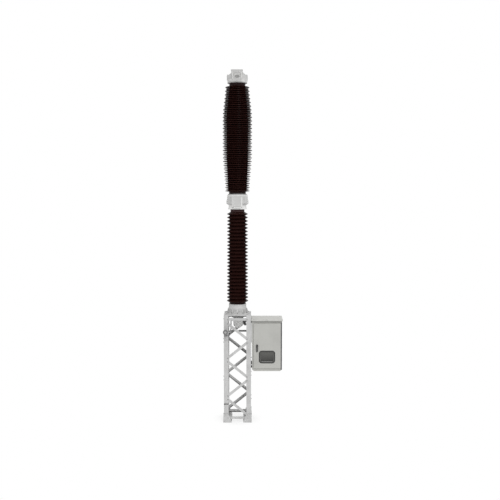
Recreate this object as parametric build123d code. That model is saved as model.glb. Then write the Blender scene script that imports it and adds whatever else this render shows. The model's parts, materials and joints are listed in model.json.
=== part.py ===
from build123d import *

import math
import os

# One pole of an outdoor gas insulated (live-tank) circuit breaker on its own lattice stand,
# with the spring drive in a cabinet hung on the stand's right side.
# Millimetres. Origin on the insulator axis at ground level, +Z up, -Y is the front (door side).

# Lattice stand
STAND_WIDTH = 525.0             # over the outer faces of the legs
STAND_HEIGHT = 2088.0           # top of the legs
LEG_WIDTH = 90.0
LEG_THICK = 9.0
BAR_WIDTH = 50.0               # bracing angles
BAR_THICK = 5.0
BAR_INSET = 62.5                # from the stand's corner to the end of a bar
BAR_GAP = 2.0                   # between two bars that meet at a leg
BRACE_PANELS = 5
BRACE_TOP_DROP = 116.0          # below the top of the legs
RAIL_HEIGHT = 50.0              # low and top rails
LOW_RAIL_TOP = 116.0
TOP_RAIL_DROP = 43.0            # below the top of the legs
TOP_PLATE_THICK = 14.0

# Feet
FOOT_PLATE = 165.0
FOOT_PLATE_THICK = 20.0
FOOT_OVERHANG = 14.0
FOOT_CHEEK_THICK = 8.0
FOOT_CHEEK_TOP = 165.0
FOOT_GUSSET_TOP = 63.0
FOOT_GUSSET_THICK = 8.0
FOOT_GUSSET_INSET = 72.5        # from the stand's corner
ANCHOR_INSET = 114.5            # from the stand's corner, along X and along Y
ANCHOR_RADIUS = 13.0

# Earthing clamp on the front left leg
CLAMP_Z = 364.0
CLAMP_HEIGHT = 18.0
CLAMP_THICK = 6.0
CLAMP_LUG = 34.0

# Flat facets around round pieces
CASTING_SIDES = 36
BAR_SIDES = 16
GAUGE_SIDES = 32
CORNER_FACETS = 4               # around each corner of the window

# Base casting of the pole
BASE_HEIGHT = 200.0
BASE_FLANGE_RADIUS = 228.0
BASE_FLANGE_THICK = 22.0
BASE_FOOT_RADIUS = 192.0
BASE_WAIST_RADIUS = 174.0
BASE_WAIST_HEIGHT = 113.0
BASE_LIP = 7.0                  # around the insulator's neck
BASE_RIBS = 12
BASE_RIB_THICK = 12.0

# Crank housing under the top plate
CRANK_NECK_RADIUS = 122.0
CRANK_FLANGE_RADIUS = 150.0
CRANK_FLANGE_THICK = 20.0
CRANK_FLANGE_DROP = 30.0        # below the legs' top, to the flange's upper face
CRANK_WIDTH = 189.0
CRANK_DEPTH = 190.0
CRANK_OFFSET = 12.5             # of the body's middle, towards the cabinet
CRANK_SIDE_HEIGHT = 160.0       # of the body's upright sides
CRANK_V_HEIGHT = 66.0
CRANK_TIP_WIDTH = 30.0
NECK_CLEARANCE = 8.0            # between the neck and the top plate

# Linkage from the drive to the crank
SHAFT_RADIUS = 24.0
SHAFT_BOSS_RADIUS = 34.0
SHAFT_BOSS_LENGTH = 8.0
SHAFT_END = 8.0                 # beyond the lever
SHAFT_INSET = 22.0              # from the housing's right side
SHAFT_DROP = 78.0               # below the housing's flange
LEVER_THICK = 16.0
LEVER_GAP = 6.0                 # between the boss and the lever
LEVER_RISE = 98.0               # from the eye up to the shaft
LEVER_REACH = 62.0              # from the shaft to the eye, towards the cabinet
LEVER_EYE_RADIUS = 24.0
LEVER_ROOT_RADIUS = 36.0
ROD_RADIUS = 14.0
PIN_RADIUS = 10.0
PIN_HEAD = 6.0                  # beyond the fork
FORK_THICK = 8.0

# Support insulator
SHED_SIDES = 16                 # flat facets around the insulators
SUPPORT_HEIGHT = 1840.0
SUPPORT_CORE = 150.0            # radius
SUPPORT_SHEDS = 26
SUPPORT_FOOT_NECK = 50.0        # from the foot to the first shed
SUPPORT_HEAD_NECK = 80.0        # from the last shed to the head
SUPPORT_NECK_BOTTOM = 156.0     # radius
SUPPORT_NECK_TOP = 142.0        # radius
SUPPORT_REACH_BOTTOM = 55.0     # of the sheds beyond the core
SUPPORT_REACH_TOP = 52.0

# Middle housing
MIDDLE_HEIGHT = 268.0
MIDDLE_FLANGE_REACH = 36.0      # beyond the support insulator's neck
MIDDLE_FLANGE_THICK = 18.0
MIDDLE_LOWER_RADIUS = 164.0
MIDDLE_STEP_HEIGHT = 92.0
MIDDLE_STEP_RISE = 8.0
MIDDLE_WIDE_RADIUS = 211.0
MIDDLE_TOP_RADIUS = 195.0
MIDDLE_BOSS_TOP_DROP = 36.0
MIDDLE_BOSS_HEIGHT = 192.0
MIDDLE_BOSS_REACH = 222.0       # from the axis to the boss's flat face
MIDDLE_BOSS_CHAMFER = 24.0
MIDDLE_RIB_WIDTH = 56.0         # flat ribs on the left and the right side
MIDDLE_RIB_REACH = 212.0

# Breaking chamber insulator
FITTING_THICK = 22.0            # flanges cemented to the chamber insulator
CHAMBER_FITTING_REACH = 24.0    # beyond the neck
CHAMBER_HEIGHT = 2105.0
CHAMBER_SHEDS = 29              # large sheds, with a small one between each two
CHAMBER_FOOT_NECK = 58.0        # from the foot to the first shed
CHAMBER_HEAD_NECK = 74.0        # from the last shed to the head
CHAMBER_NECK_BOTTOM = 162.0     # radius
CHAMBER_NECK_TOP = 153.0        # radius
CORE_FOOT = 167.0               # radius at the foot
CORE_BELLY = 207.0
CORE_HEAD = 155.0
REACH_FOOT = 68.0               # of the sheds beyond the core
REACH_BELLY = 78.0
REACH_HEAD = 72.0
SMALL_REACH = 0.8               # of a small shed, as a share of a large one's reach
BELLY_FROM = 0.38               # of the insulator's height
BELLY_TO = 0.72

# Top cap
CAP_NECK_REACH = 37.0           # beyond the chamber insulator's neck
CAP_NECK_HEIGHT = 31.0
CAP_RIM_RADIUS = 200.0
CAP_RIM_HEIGHT = 100.0
CAP_DOME_RADIUS = 108.0
CAP_DOME_HEIGHT = 60.0
CAP_BOSS_REACH = 210.0          # from the axis to the boss's flat front

# Current terminals: flat pads with four holes
PAD_WIDTH = 220.0
PAD_THICK = 28.0
PAD_END = 470.0                 # from the axis
PAD_HOLE_RADIUS = 8.0
PAD_HOLE_PITCH = 60.0
PAD_HOLE_INSET = 85.0           # from the pad's free end to the pattern's middle
PAD_RIB_THICK = 18.0
PAD_FOOT_WIDTH = 190.0
PAD_FOOT_THICK = 22.0
UPPER_FOOT_HEIGHT = 100.0
UPPER_PAD_LIFT = 10.0           # above the cap's rim
LOWER_FOOT_HEIGHT = 105.0
LOWER_PAD_RISE = 158.0          # above the middle housing's foot

# Gas density monitor in front of the front left leg
GAUGE_RADIUS = 50.0
GAUGE_DEPTH = 52.0
GAUGE_RING = 17.0
GAUGE_RECESS = 6.0
DIAL_THICK = 3.0
DIAL_CLEARANCE = 0.3
GAUGE_INSET = 37.5              # from the stand's corner
GAUGE_DROP = 291.0              # below the legs' top
GAUGE_STAND_OFF = 103.5         # from the leg to the back of the case
BRACKET_WIDTH = 64.0
BRACKET_HEIGHT = 110.0
BRACKET_THICK = 8.0
ARM_WIDTH = 36.0
ELBOW = 30.0                    # cube fitting at a pipe's corner
PIPE_RADIUS = 11.0
PIPE_INSET = 132.5              # from the stand's corner
CONDUIT_RADIUS = 12.0
CONDUIT_INSET = 108.5           # from the stand's corner
CONDUIT_DROP = 66.0             # below the gauge's centre
CONDUIT_DEPTH = 100.0           # in front of the axis
CONDUIT_RISE = 39.0             # of its last run

# Drive cabinet
CABINET_GAP = 17.5              # from the stand's right legs
CABINET_WIDTH = 580.0
CABINET_FRONT = 260.0           # from the axis
CABINET_BACK = 265.0
CABINET_HEIGHT = 990.0
CABINET_TOP_DROP = 86.0         # below the legs' top
CABINET_CHAMFER = 35.0
SHEET = 3.0
ROOF_SIDE = 16.0
ROOF_FRONT = 40.0
ROOF_BACK = 20.0
ROOF_SKIRT = 9.0
FRAME_EDGE = 48.0               # front frame beside the door opening
FRAME_TOP = 72.0
FRAME_FOOT = 71.0
DOOR_LAP = 14.0                 # of the door over the frame
DOOR_DEPTH = 22.0
DOOR_GAP = 1.5
WINDOW_WIDTH = 314.0
WINDOW_HEIGHT = 248.0
WINDOW_CORNER = 56.0
WINDOW_INSET = 100.0            # from the door's left edge
WINDOW_RISE = 100.0             # from the door's lower edge
GASKET_WIDTH = 36.0
GASKET_PROUD = 5.0
GLASS_THICK = 6.0
HANDLE_INSET = 65.0             # of the spindle, from the door's left edge
HANDLE_RISE = 446.0             # of the spindle, from the door's lower edge
HANDLE_LENGTH = 138.0
HANDLE_WIDTH = 36.0
HANDLE_THICK = 14.0
ESCUTCHEON_THICK = 8.0
SPINDLE_RADIUS = 8.0
RUN_CLEARANCE = 0.3
HINGE_RADIUS = 7.0
HINGE_OVERRUN = 12.0            # of the pin beyond the door
KNUCKLES = 3
KNUCKLE_LENGTH = 90.0
KNUCKLE_RADIUS = 11.5
EAR_HEIGHT = 30.0
MOUNT_WIDTH = 88.0              # straps between the legs and the cabinet
UPPER_MOUNT_DROP = 40.0         # below the cabinet's top
UPPER_MOUNT_HEIGHT = 392.0
LOWER_MOUNT_RISE = 66.0         # of the front strap, above the cabinet's bottom
LOWER_MOUNT_HEIGHT = 118.0
BACK_MOUNT_RISE = 38.0          # of the back strap
BACK_MOUNT_HEIGHT = 46.0

# Spring drive in the cabinet
DRIVE_PLATE_THICK = 8.0
DRIVE_PLATE_Y = 120.0
DRIVE_PLATE_EDGE = 60.0         # from the cabinet's side walls
POST_WIDTH = 50.0
POST_DEPTH = 60.0
SPRING_RADIUS = 58.0
SPRING_HEIGHT = 470.0
SPRING_SPREAD = 290.0           # between the two springs
SPRING_RISE = 340.0             # above the cabinet's bottom
GEAR_WIDTH = 150.0
GEAR_DEPTH = 105.0
GEAR_HEIGHT = 260.0
GEAR_RISE = 450.0
MOTOR_RADIUS = 52.0
MOTOR_LENGTH = 190.0
PLATE_RISE = 130.0

# Derived places
HALF = STAND_WIDTH / 2
BAR_REACH = HALF - BAR_INSET
ANCHOR_AT = HALF - ANCHOR_INSET
BRACE_TOP = STAND_HEIGHT - BRACE_TOP_DROP
PLATE_TOP = STAND_HEIGHT + TOP_PLATE_THICK
CRANK_FLANGE_TOP = STAND_HEIGHT - CRANK_FLANGE_DROP
CRANK_BODY_TOP = CRANK_FLANGE_TOP - CRANK_FLANGE_THICK
CRANK_LEFT = CRANK_OFFSET - CRANK_WIDTH / 2
CRANK_RIGHT = CRANK_OFFSET + CRANK_WIDTH / 2
SHAFT_X = CRANK_RIGHT - SHAFT_INSET
SHAFT_Z = CRANK_BODY_TOP - SHAFT_DROP
BOSS_Y = CRANK_DEPTH / 2 + SHAFT_BOSS_LENGTH
LEVER_Y = BOSS_Y + LEVER_GAP
LEVER_MIDDLE_Y = LEVER_Y + LEVER_THICK / 2
EYE_X = SHAFT_X + LEVER_REACH
EYE_Z = SHAFT_Z - LEVER_RISE
BASE_TOP = PLATE_TOP + BASE_HEIGHT
SUPPORT_TOP = BASE_TOP + SUPPORT_HEIGHT
MIDDLE_TOP = SUPPORT_TOP + MIDDLE_HEIGHT
CHAMBER_FOOT = MIDDLE_TOP + FITTING_THICK
CHAMBER_HEAD = CHAMBER_FOOT + CHAMBER_HEIGHT
CAP_FOOT = CHAMBER_HEAD + FITTING_THICK
CAP_RIM_FOOT = CAP_FOOT + CAP_NECK_HEIGHT
CAP_RIM_TOP = CAP_RIM_FOOT + CAP_RIM_HEIGHT
CAP_TOP = CAP_RIM_TOP + CAP_DOME_HEIGHT
UPPER_PAD_Z = CAP_RIM_TOP + UPPER_PAD_LIFT
LOWER_PAD_Z = SUPPORT_TOP + LOWER_PAD_RISE
GAUGE_X = -HALF + GAUGE_INSET
GAUGE_Z = STAND_HEIGHT - GAUGE_DROP
GAUGE_BACK_Y = -HALF - GAUGE_STAND_OFF
GAUGE_FRONT_Y = GAUGE_BACK_Y - GAUGE_DEPTH
GAUGE_MIDDLE_Y = (GAUGE_BACK_Y + GAUGE_FRONT_Y) / 2
CABINET_LEFT = HALF + CABINET_GAP
CABINET_RIGHT = CABINET_LEFT + CABINET_WIDTH
CABINET_TOP = STAND_HEIGHT - CABINET_TOP_DROP
CABINET_BOTTOM = CABINET_TOP - CABINET_HEIGHT
FRONT_Y = -CABINET_FRONT
DOOR_BACK_Y = FRONT_Y - DOOR_GAP
DOOR_FRONT_Y = DOOR_BACK_Y - DOOR_DEPTH
OPENING_LEFT = CABINET_LEFT + FRAME_EDGE
OPENING_RIGHT = CABINET_RIGHT - FRAME_EDGE
OPENING_BOTTOM = CABINET_BOTTOM + FRAME_FOOT
OPENING_TOP = CABINET_TOP - FRAME_TOP
HINGE_X = CABINET_RIGHT - KNUCKLE_RADIUS
HINGE_Y = DOOR_FRONT_Y + DOOR_DEPTH / 2
DOOR_LEFT = OPENING_LEFT - DOOR_LAP
DOOR_RIGHT = HINGE_X - KNUCKLE_RADIUS - 2 * RUN_CLEARANCE
DOOR_BOTTOM = OPENING_BOTTOM - DOOR_LAP
DOOR_TOP = OPENING_TOP + DOOR_LAP
HINGE_BOTTOM = DOOR_BOTTOM - HINGE_OVERRUN
HINGE_TOP = DOOR_TOP + HINGE_OVERRUN
WINDOW_X = DOOR_LEFT + WINDOW_INSET + WINDOW_WIDTH / 2
WINDOW_Z = DOOR_BOTTOM + WINDOW_RISE + WINDOW_HEIGHT / 2
HANDLE_X = DOOR_LEFT + HANDLE_INSET
HANDLE_Z = DOOR_BOTTOM + HANDLE_RISE
CABINET_MIDDLE = (CABINET_LEFT + CABINET_RIGHT) / 2


def block(x_limits, y_limits, z_limits):
    """A box between two limits along each axis."""
    corners = [sorted(limits) for limits in (x_limits, y_limits, z_limits)]
    size = [high - low for low, high in corners]
    centre = [(high + low) / 2 for low, high in corners]
    return Pos(*centre) * Box(*size)


def bore(radius, bottom, length, x=0.0, y=0.0):
    """An upright cylinder that starts at a height, for a hole."""
    return Pos(x, y, bottom + length / 2) * Cylinder(radius, length)


def bar(radius, length, sides=BAR_SIDES):
    """A round bar along Z about the origin, with flat facets around it."""
    return extrude(RegularPolygon(radius, sides), amount=length / 2, both=True)


def rod(radius, bottom, length, x=0.0, y=0.0):
    """An upright round bar that starts at a height."""
    return Pos(x, y, bottom + length / 2) * bar(radius, length)


def rod_y(radius, x, z, y_from, y_to, sides=BAR_SIDES):
    """A round bar along Y."""
    return Pos(x, (y_from + y_to) / 2, z) * Rot(90, 0, 0) * bar(radius, abs(y_to - y_from), sides)


def rod_x(radius, y, z, x_from, x_to):
    """A round bar along X."""
    return Pos((x_from + x_to) / 2, y, z) * Rot(0, 90, 0) * bar(radius, abs(x_to - x_from))


def turned(outline, sides):
    """A solid turned about the pole's axis from (radius, height) points, with flat facets around it."""
    step = 2 * math.pi / sides
    around = [(math.cos(step * (side + 0.5)), math.sin(step * (side + 0.5))) for side in range(sides)]
    rings = [[(radius * x, radius * y, z) for x, y in around] for radius, z in outline]
    faces = [Face(Wire.make_polygon(ring)) for ring in (rings[0], rings[-1])]
    for low, high in zip(rings, rings[1:]):
        for side in range(sides):
            after = (side + 1) % sides
            faces.append(Face(Wire.make_polygon([low[side], low[after], high[after], high[side]])))
    return Solid(Shell(faces))


def plate_xz(points, y_from, y_to):
    """A plate in the XZ plane between two Y limits, from (x, z) points."""
    face = make_face(Plane.XZ * Polyline(*points, close=True))
    return Pos(0, max(y_from, y_to), 0) * extrude(face, amount=abs(y_to - y_from))


def turn_about_axis(shape, quarter):
    """The shape on another side or corner of the stand."""
    return Rot(0, 0, 90 * quarter) * shape


def smooth(t):
    """Rises from 0 to 1 with level ends."""
    t = min(max(t, 0.0), 1.0)
    return t * t * (3 - 2 * t)


# Stand

def leg():
    """The front left leg angle."""
    flanges = Polyline(
        (-HALF, -HALF), (-HALF + LEG_WIDTH, -HALF), (-HALF + LEG_WIDTH, -HALF + LEG_THICK),
        (-HALF + LEG_THICK, -HALF + LEG_THICK), (-HALF + LEG_THICK, -HALF + LEG_WIDTH),
        (-HALF, -HALF + LEG_WIDTH), close=True)
    section = Pos(0, 0, FOOT_PLATE_THICK) * make_face(flanges)
    return extrude(section, amount=STAND_HEIGHT - FOOT_PLATE_THICK)


def foot():
    """The front left foot: anchor plate, two flared cheeks outside the leg and two low gussets inside it."""
    outer = -HALF - FOOT_OVERHANG
    inner = outer + FOOT_PLATE
    plate = block((outer, inner), (outer, inner), (0, FOOT_PLATE_THICK))
    plate -= bore(ANCHOR_RADIUS, 0, FOOT_PLATE_THICK, -ANCHOR_AT, -ANCHOR_AT)
    cheek = plate_xz(
        [(outer, FOOT_PLATE_THICK), (inner, FOOT_PLATE_THICK), (-HALF + LEG_WIDTH, FOOT_CHEEK_TOP),
         (-HALF - FOOT_CHEEK_THICK, FOOT_CHEEK_TOP)],
        -HALF - FOOT_CHEEK_THICK, -HALF)
    gusset_middle = -HALF + FOOT_GUSSET_INSET
    gusset = plate_xz(
        [(-HALF + LEG_THICK, FOOT_PLATE_THICK), (inner, FOOT_PLATE_THICK),
         (inner - FOOT_GUSSET_THICK, FOOT_GUSSET_TOP), (-HALF + LEG_THICK, FOOT_GUSSET_TOP)],
        gusset_middle - FOOT_GUSSET_THICK / 2, gusset_middle + FOOT_GUSSET_THICK / 2)
    diagonal_plane = Plane(origin=(0, 0, 0), z_dir=(1, -1, 0))
    return plate + cheek + gusset + cheek.mirror(diagonal_plane) + gusset.mirror(diagonal_plane)


def rail(top):
    """A level angle across the front side, its shelf at the lower edge."""
    y_face = -HALF + LEG_THICK
    along = (-BAR_REACH, BAR_REACH)
    bottom = top - RAIL_HEIGHT
    web = block(along, (y_face, y_face + BAR_THICK), (bottom, top))
    shelf = block(along, (y_face, y_face + BAR_WIDTH), (bottom, bottom + BAR_THICK))
    return web + shelf


def diagonal(panel, pitch):
    """One bracing angle across the front side, cropped to its panel."""
    top = BRACE_TOP - panel * pitch - BAR_GAP / 2
    bottom = top - pitch + BAR_GAP
    tilt = math.degrees(math.atan2(pitch - BAR_WIDTH, 2 * BAR_REACH))
    falls_right = panel % 2 == 0
    y_face = -HALF + LEG_THICK
    along = (-2 * BAR_REACH, 2 * BAR_REACH)
    web = block(along, (y_face, y_face + BAR_THICK), (-BAR_WIDTH / 2, BAR_WIDTH / 2))
    shelf = block(along, (y_face, y_face + BAR_WIDTH), (-BAR_WIDTH / 2, BAR_THICK - BAR_WIDTH / 2))
    tilted = Rot(0, tilt if falls_right else -tilt, 0) * (web + shelf)
    crop = block((-BAR_REACH, BAR_REACH), (y_face, y_face + BAR_WIDTH), (bottom, top))
    return Pos(0, 0, (top + bottom) / 2) * tilted & crop


def bracing():
    """All bars of the front side: the zigzag, the low rail and the top rail."""
    pitch = (BRACE_TOP - LOW_RAIL_TOP) / BRACE_PANELS
    bars = [diagonal(panel, pitch) for panel in range(BRACE_PANELS)]
    bars += [rail(LOW_RAIL_TOP - BAR_GAP), rail(STAND_HEIGHT - TOP_RAIL_DROP)]
    return Compound(children=[bar.solids()[0] for bar in bars])


def top_plate():
    """The plate that ties the legs and carries the pole."""
    plate = block((-HALF, HALF), (-HALF, HALF), (STAND_HEIGHT, PLATE_TOP))
    hole = turned([(CRANK_NECK_RADIUS + NECK_CLEARANCE, STAND_HEIGHT),
                   (CRANK_NECK_RADIUS + NECK_CLEARANCE, PLATE_TOP)], CASTING_SIDES)
    return plate - hole


def earth_clamp():
    """The strap across the front left leg, with the lug of the earthing conductor."""
    strap = block((-HALF, -HALF + LEG_WIDTH), (-HALF - CLAMP_THICK, -HALF),
                  (CLAMP_Z - CLAMP_HEIGHT / 2, CLAMP_Z + CLAMP_HEIGHT / 2))
    lug = block((-HALF, -HALF + CLAMP_LUG), (-HALF - 2 * CLAMP_THICK, -HALF - CLAMP_THICK),
                (CLAMP_Z - CLAMP_HEIGHT / 2, CLAMP_Z + CLAMP_HEIGHT / 2))
    return strap + lug


# Pole

def base_casting():
    """The cone between the top plate and the support insulator, with ribs down to its flange."""
    flange_top = PLATE_TOP + BASE_FLANGE_THICK
    waist = PLATE_TOP + BASE_WAIST_HEIGHT
    cone = turned([
        (BASE_FLANGE_RADIUS, PLATE_TOP), (BASE_FLANGE_RADIUS, flange_top), (BASE_FOOT_RADIUS, flange_top),
        (BASE_WAIST_RADIUS, waist), (SUPPORT_NECK_BOTTOM + BASE_LIP, BASE_TOP)], CASTING_SIDES)
    inside = BASE_WAIST_RADIUS - BASE_RIB_THICK
    rib = plate_xz(
        [(inside, flange_top), (BASE_FLANGE_RADIUS - BASE_RIB_THICK, flange_top),
         (BASE_FOOT_RADIUS, waist - BASE_RIB_THICK), (inside, waist - BASE_RIB_THICK)],
        -BASE_RIB_THICK / 2, BASE_RIB_THICK / 2)
    step = 360 / BASE_RIBS
    return cone + [Rot(0, 0, step * (count + 0.5)) * rib for count in range(BASE_RIBS)]


def crank_housing():
    """The casting below the plate: neck, round flange, a body with a V bottom and the boss of its shaft."""
    neck = turned([
        (CRANK_FLANGE_RADIUS, CRANK_BODY_TOP), (CRANK_FLANGE_RADIUS, CRANK_FLANGE_TOP),
        (CRANK_NECK_RADIUS, CRANK_FLANGE_TOP), (CRANK_NECK_RADIUS, PLATE_TOP)], CASTING_SIDES)
    side_bottom = CRANK_BODY_TOP - CRANK_SIDE_HEIGHT
    tip = side_bottom - CRANK_V_HEIGHT
    body = plate_xz(
        [(CRANK_LEFT, CRANK_BODY_TOP), (CRANK_LEFT, side_bottom),
         (CRANK_OFFSET - CRANK_TIP_WIDTH / 2, tip), (CRANK_OFFSET + CRANK_TIP_WIDTH / 2, tip),
         (CRANK_RIGHT, side_bottom), (CRANK_RIGHT, CRANK_BODY_TOP)],
        -CRANK_DEPTH / 2, CRANK_DEPTH / 2)
    boss = rod_y(SHAFT_BOSS_RADIUS, SHAFT_X, SHAFT_Z, CRANK_DEPTH / 2, BOSS_Y)
    return neck + body + boss


def crank_shaft():
    """The shaft that leaves the housing's boss and carries the lever."""
    return rod_y(SHAFT_RADIUS, SHAFT_X, SHAFT_Z, BOSS_Y, LEVER_Y + LEVER_THICK + SHAFT_END)


def crank_lever():
    """The lever on the shaft: a tapered plate with an eye for the pin."""
    root = Pos(SHAFT_X, SHAFT_Z) * RegularPolygon(LEVER_ROOT_RADIUS, BAR_SIDES)
    eye = Pos(EYE_X, EYE_Z) * RegularPolygon(LEVER_EYE_RADIUS, BAR_SIDES)
    outline = Plane.XZ * make_hull(root.edges() + eye.edges())
    plate = Pos(0, LEVER_Y + LEVER_THICK, 0) * extrude(outline, amount=LEVER_THICK)
    plate -= rod_y(SHAFT_RADIUS, SHAFT_X, SHAFT_Z, LEVER_Y, LEVER_Y + LEVER_THICK)
    return plate - rod_y(PIN_RADIUS + RUN_CLEARANCE, EYE_X, EYE_Z, LEVER_Y, LEVER_Y + LEVER_THICK)


def pull_rod():
    """The rod from the lever's eye to the cabinet, with its fork and pin."""
    cheek_from = LEVER_THICK / 2 + RUN_CLEARANCE
    cheek_to = cheek_from + FORK_THICK
    root_x = EYE_X + LEVER_EYE_RADIUS + FORK_THICK
    heights = (EYE_Z - ROD_RADIUS, EYE_Z + ROD_RADIUS)
    outside = (LEVER_MIDDLE_Y - cheek_to, LEVER_MIDDLE_Y + cheek_to)
    inside = (LEVER_MIDDLE_Y - cheek_from, LEVER_MIDDLE_Y + cheek_from)
    fork = block((EYE_X - ROD_RADIUS, root_x + FORK_THICK), outside, heights)
    fork -= block((EYE_X - ROD_RADIUS, root_x), inside, heights)
    pin = rod_y(PIN_RADIUS, EYE_X, EYE_Z, outside[0] - PIN_HEAD, outside[1] + PIN_HEAD)
    bar = rod_x(ROD_RADIUS, LEVER_MIDDLE_Y, EYE_Z, root_x + FORK_THICK, CABINET_LEFT)
    return fork + pin + bar


def shed_outline(count, first, last, core_at, reach_at, shares=(1.0,)):
    """Points of a stack of sheds: a tip and a root for each, with the shares of the full reach in turn."""
    pitch = (last - first) / (count - 1)
    points = []
    for index in range(count):
        z = first + index * pitch
        points.append((core_at(z) + shares[index % len(shares)] * reach_at(z), z))
        points.append((core_at(z + pitch / 2), z + pitch / 2))
    return points


def support_insulator():
    """The porcelain column from the base casting to the middle housing."""
    first = BASE_TOP + SUPPORT_FOOT_NECK
    last = SUPPORT_TOP - SUPPORT_HEAD_NECK

    def reach_at(z):
        share = (z - first) / (last - first)
        return SUPPORT_REACH_BOTTOM + share * (SUPPORT_REACH_TOP - SUPPORT_REACH_BOTTOM)

    sheds = shed_outline(SUPPORT_SHEDS, first, last, lambda z: SUPPORT_CORE, reach_at)
    return turned([(SUPPORT_NECK_BOTTOM, BASE_TOP)] + sheds + [(SUPPORT_NECK_TOP, SUPPORT_TOP)], SHED_SIDES)


def barrel(z, foot, middle, head):
    """A barrel's size at a height, from its sizes at the foot, the belly and the head."""
    share = (z - CHAMBER_FOOT) / CHAMBER_HEIGHT
    if share < BELLY_TO:
        return foot + (middle - foot) * smooth(share / BELLY_FROM)
    return middle + (head - middle) * smooth((share - BELLY_TO) / (1 - BELLY_TO))


def chamber_insulator():
    """The barrel shaped porcelain of the breaking chamber."""
    first = CHAMBER_FOOT + CHAMBER_FOOT_NECK
    last = CHAMBER_HEAD - CHAMBER_HEAD_NECK
    sheds = shed_outline(2 * CHAMBER_SHEDS - 1, first, last,
                         lambda z: barrel(z, CORE_FOOT, CORE_BELLY, CORE_HEAD),
                         lambda z: barrel(z, REACH_FOOT, REACH_BELLY, REACH_HEAD), (1.0, SMALL_REACH))
    outline = [(CHAMBER_NECK_BOTTOM, CHAMBER_FOOT)] + sheds + [(CHAMBER_NECK_TOP, CHAMBER_HEAD)]
    return turned(outline, SHED_SIDES)


def middle_housing():
    """The casting between the insulators: flat bosses front and back, flat ribs left and right."""
    flange_top = SUPPORT_TOP + MIDDLE_FLANGE_THICK
    flange_radius = SUPPORT_NECK_TOP + MIDDLE_FLANGE_REACH
    step = SUPPORT_TOP + MIDDLE_STEP_HEIGHT
    body = turned([
        (flange_radius, SUPPORT_TOP), (flange_radius, flange_top), (MIDDLE_LOWER_RADIUS, flange_top),
        (MIDDLE_LOWER_RADIUS, step), (MIDDLE_WIDE_RADIUS, step + MIDDLE_STEP_RISE),
        (MIDDLE_TOP_RADIUS, MIDDLE_TOP)], CASTING_SIDES)
    boss_top = MIDDLE_TOP - MIDDLE_BOSS_TOP_DROP
    boss = block((-PAD_FOOT_WIDTH / 2, PAD_FOOT_WIDTH / 2), (-MIDDLE_BOSS_REACH, MIDDLE_BOSS_REACH),
                 (boss_top - MIDDLE_BOSS_HEIGHT, boss_top))
    boss = chamfer(boss.edges().filter_by(Axis.Z), MIDDLE_BOSS_CHAMFER)
    ribs = block((-MIDDLE_RIB_REACH, MIDDLE_RIB_REACH), (-MIDDLE_RIB_WIDTH / 2, MIDDLE_RIB_WIDTH / 2),
                 (step + MIDDLE_STEP_RISE, MIDDLE_TOP))
    return body + boss + ribs


def chamber_fitting():
    """The flange cemented to the foot of the chamber insulator."""
    radius = CHAMBER_NECK_BOTTOM + CHAMBER_FITTING_REACH
    return turned([(radius, MIDDLE_TOP), (radius, CHAMBER_FOOT)], CASTING_SIDES)


def top_fitting():
    """The flange cemented to the head of the chamber insulator."""
    radius = CHAMBER_NECK_TOP + CAP_NECK_REACH
    return turned([(radius, CHAMBER_HEAD), (radius, CAP_FOOT)], CASTING_SIDES)


def top_cap():
    """The cap casting: neck, rim and shallow dome, with a flat boss for the upper terminal."""
    body = turned([
        (CHAMBER_NECK_TOP + CAP_NECK_REACH, CAP_FOOT), (CAP_RIM_RADIUS, CAP_RIM_FOOT),
        (CAP_RIM_RADIUS, CAP_RIM_TOP), (CAP_DOME_RADIUS, CAP_TOP)], CASTING_SIDES)
    boss = block((-PAD_FOOT_WIDTH / 2, PAD_FOOT_WIDTH / 2), (-CAP_BOSS_REACH, 0),
                 (UPPER_PAD_Z - UPPER_FOOT_HEIGHT, UPPER_PAD_Z + PAD_THICK))
    return body + boss


def terminal(face_reach, foot_height, pad_z):
    """A terminal that points to the back: upright foot, level pad with four holes, two ribs."""
    foot_back = face_reach + PAD_FOOT_THICK
    half_foot = PAD_FOOT_WIDTH / 2
    foot_bottom = pad_z - foot_height
    upright = block((-half_foot, half_foot), (face_reach, foot_back), (foot_bottom, pad_z))
    pad = block((-PAD_WIDTH / 2, PAD_WIDTH / 2), (face_reach, PAD_END), (pad_z, pad_z + PAD_THICK))
    holes_y = PAD_END - PAD_HOLE_INSET
    for x in (-PAD_HOLE_PITCH / 2, PAD_HOLE_PITCH / 2):
        for y in (holes_y - PAD_HOLE_PITCH / 2, holes_y + PAD_HOLE_PITCH / 2):
            pad -= bore(PAD_HOLE_RADIUS, pad_z, PAD_THICK, x, y)
    rib_end = holes_y - PAD_HOLE_PITCH
    profile = make_face(Plane.YZ * Polyline(
        (foot_back, foot_bottom), (rib_end, pad_z), (foot_back, pad_z), close=True))
    rib = extrude(profile, amount=PAD_RIB_THICK)
    return upright + pad + Pos(half_foot - PAD_RIB_THICK, 0, 0) * rib + Pos(-half_foot, 0, 0) * rib


def upper_terminal():
    """The terminal on the cap's boss, pointing to the front."""
    return turn_about_axis(terminal(CAP_BOSS_REACH, UPPER_FOOT_HEIGHT, UPPER_PAD_Z), 2)


def lower_terminal():
    """The terminal on the middle housing's back boss."""
    return terminal(MIDDLE_BOSS_REACH, LOWER_FOOT_HEIGHT, LOWER_PAD_Z)


# Gas density monitor

def gauge_body():
    """The round case of the monitor, with a raised ring around the dial."""
    case = rod_y(GAUGE_RADIUS, GAUGE_X, GAUGE_Z, GAUGE_FRONT_Y, GAUGE_BACK_Y, GAUGE_SIDES)
    return case - rod_y(GAUGE_RADIUS - GAUGE_RING, GAUGE_X, GAUGE_Z, GAUGE_FRONT_Y,
                        GAUGE_FRONT_Y + GAUGE_RECESS, GAUGE_SIDES)


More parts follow.
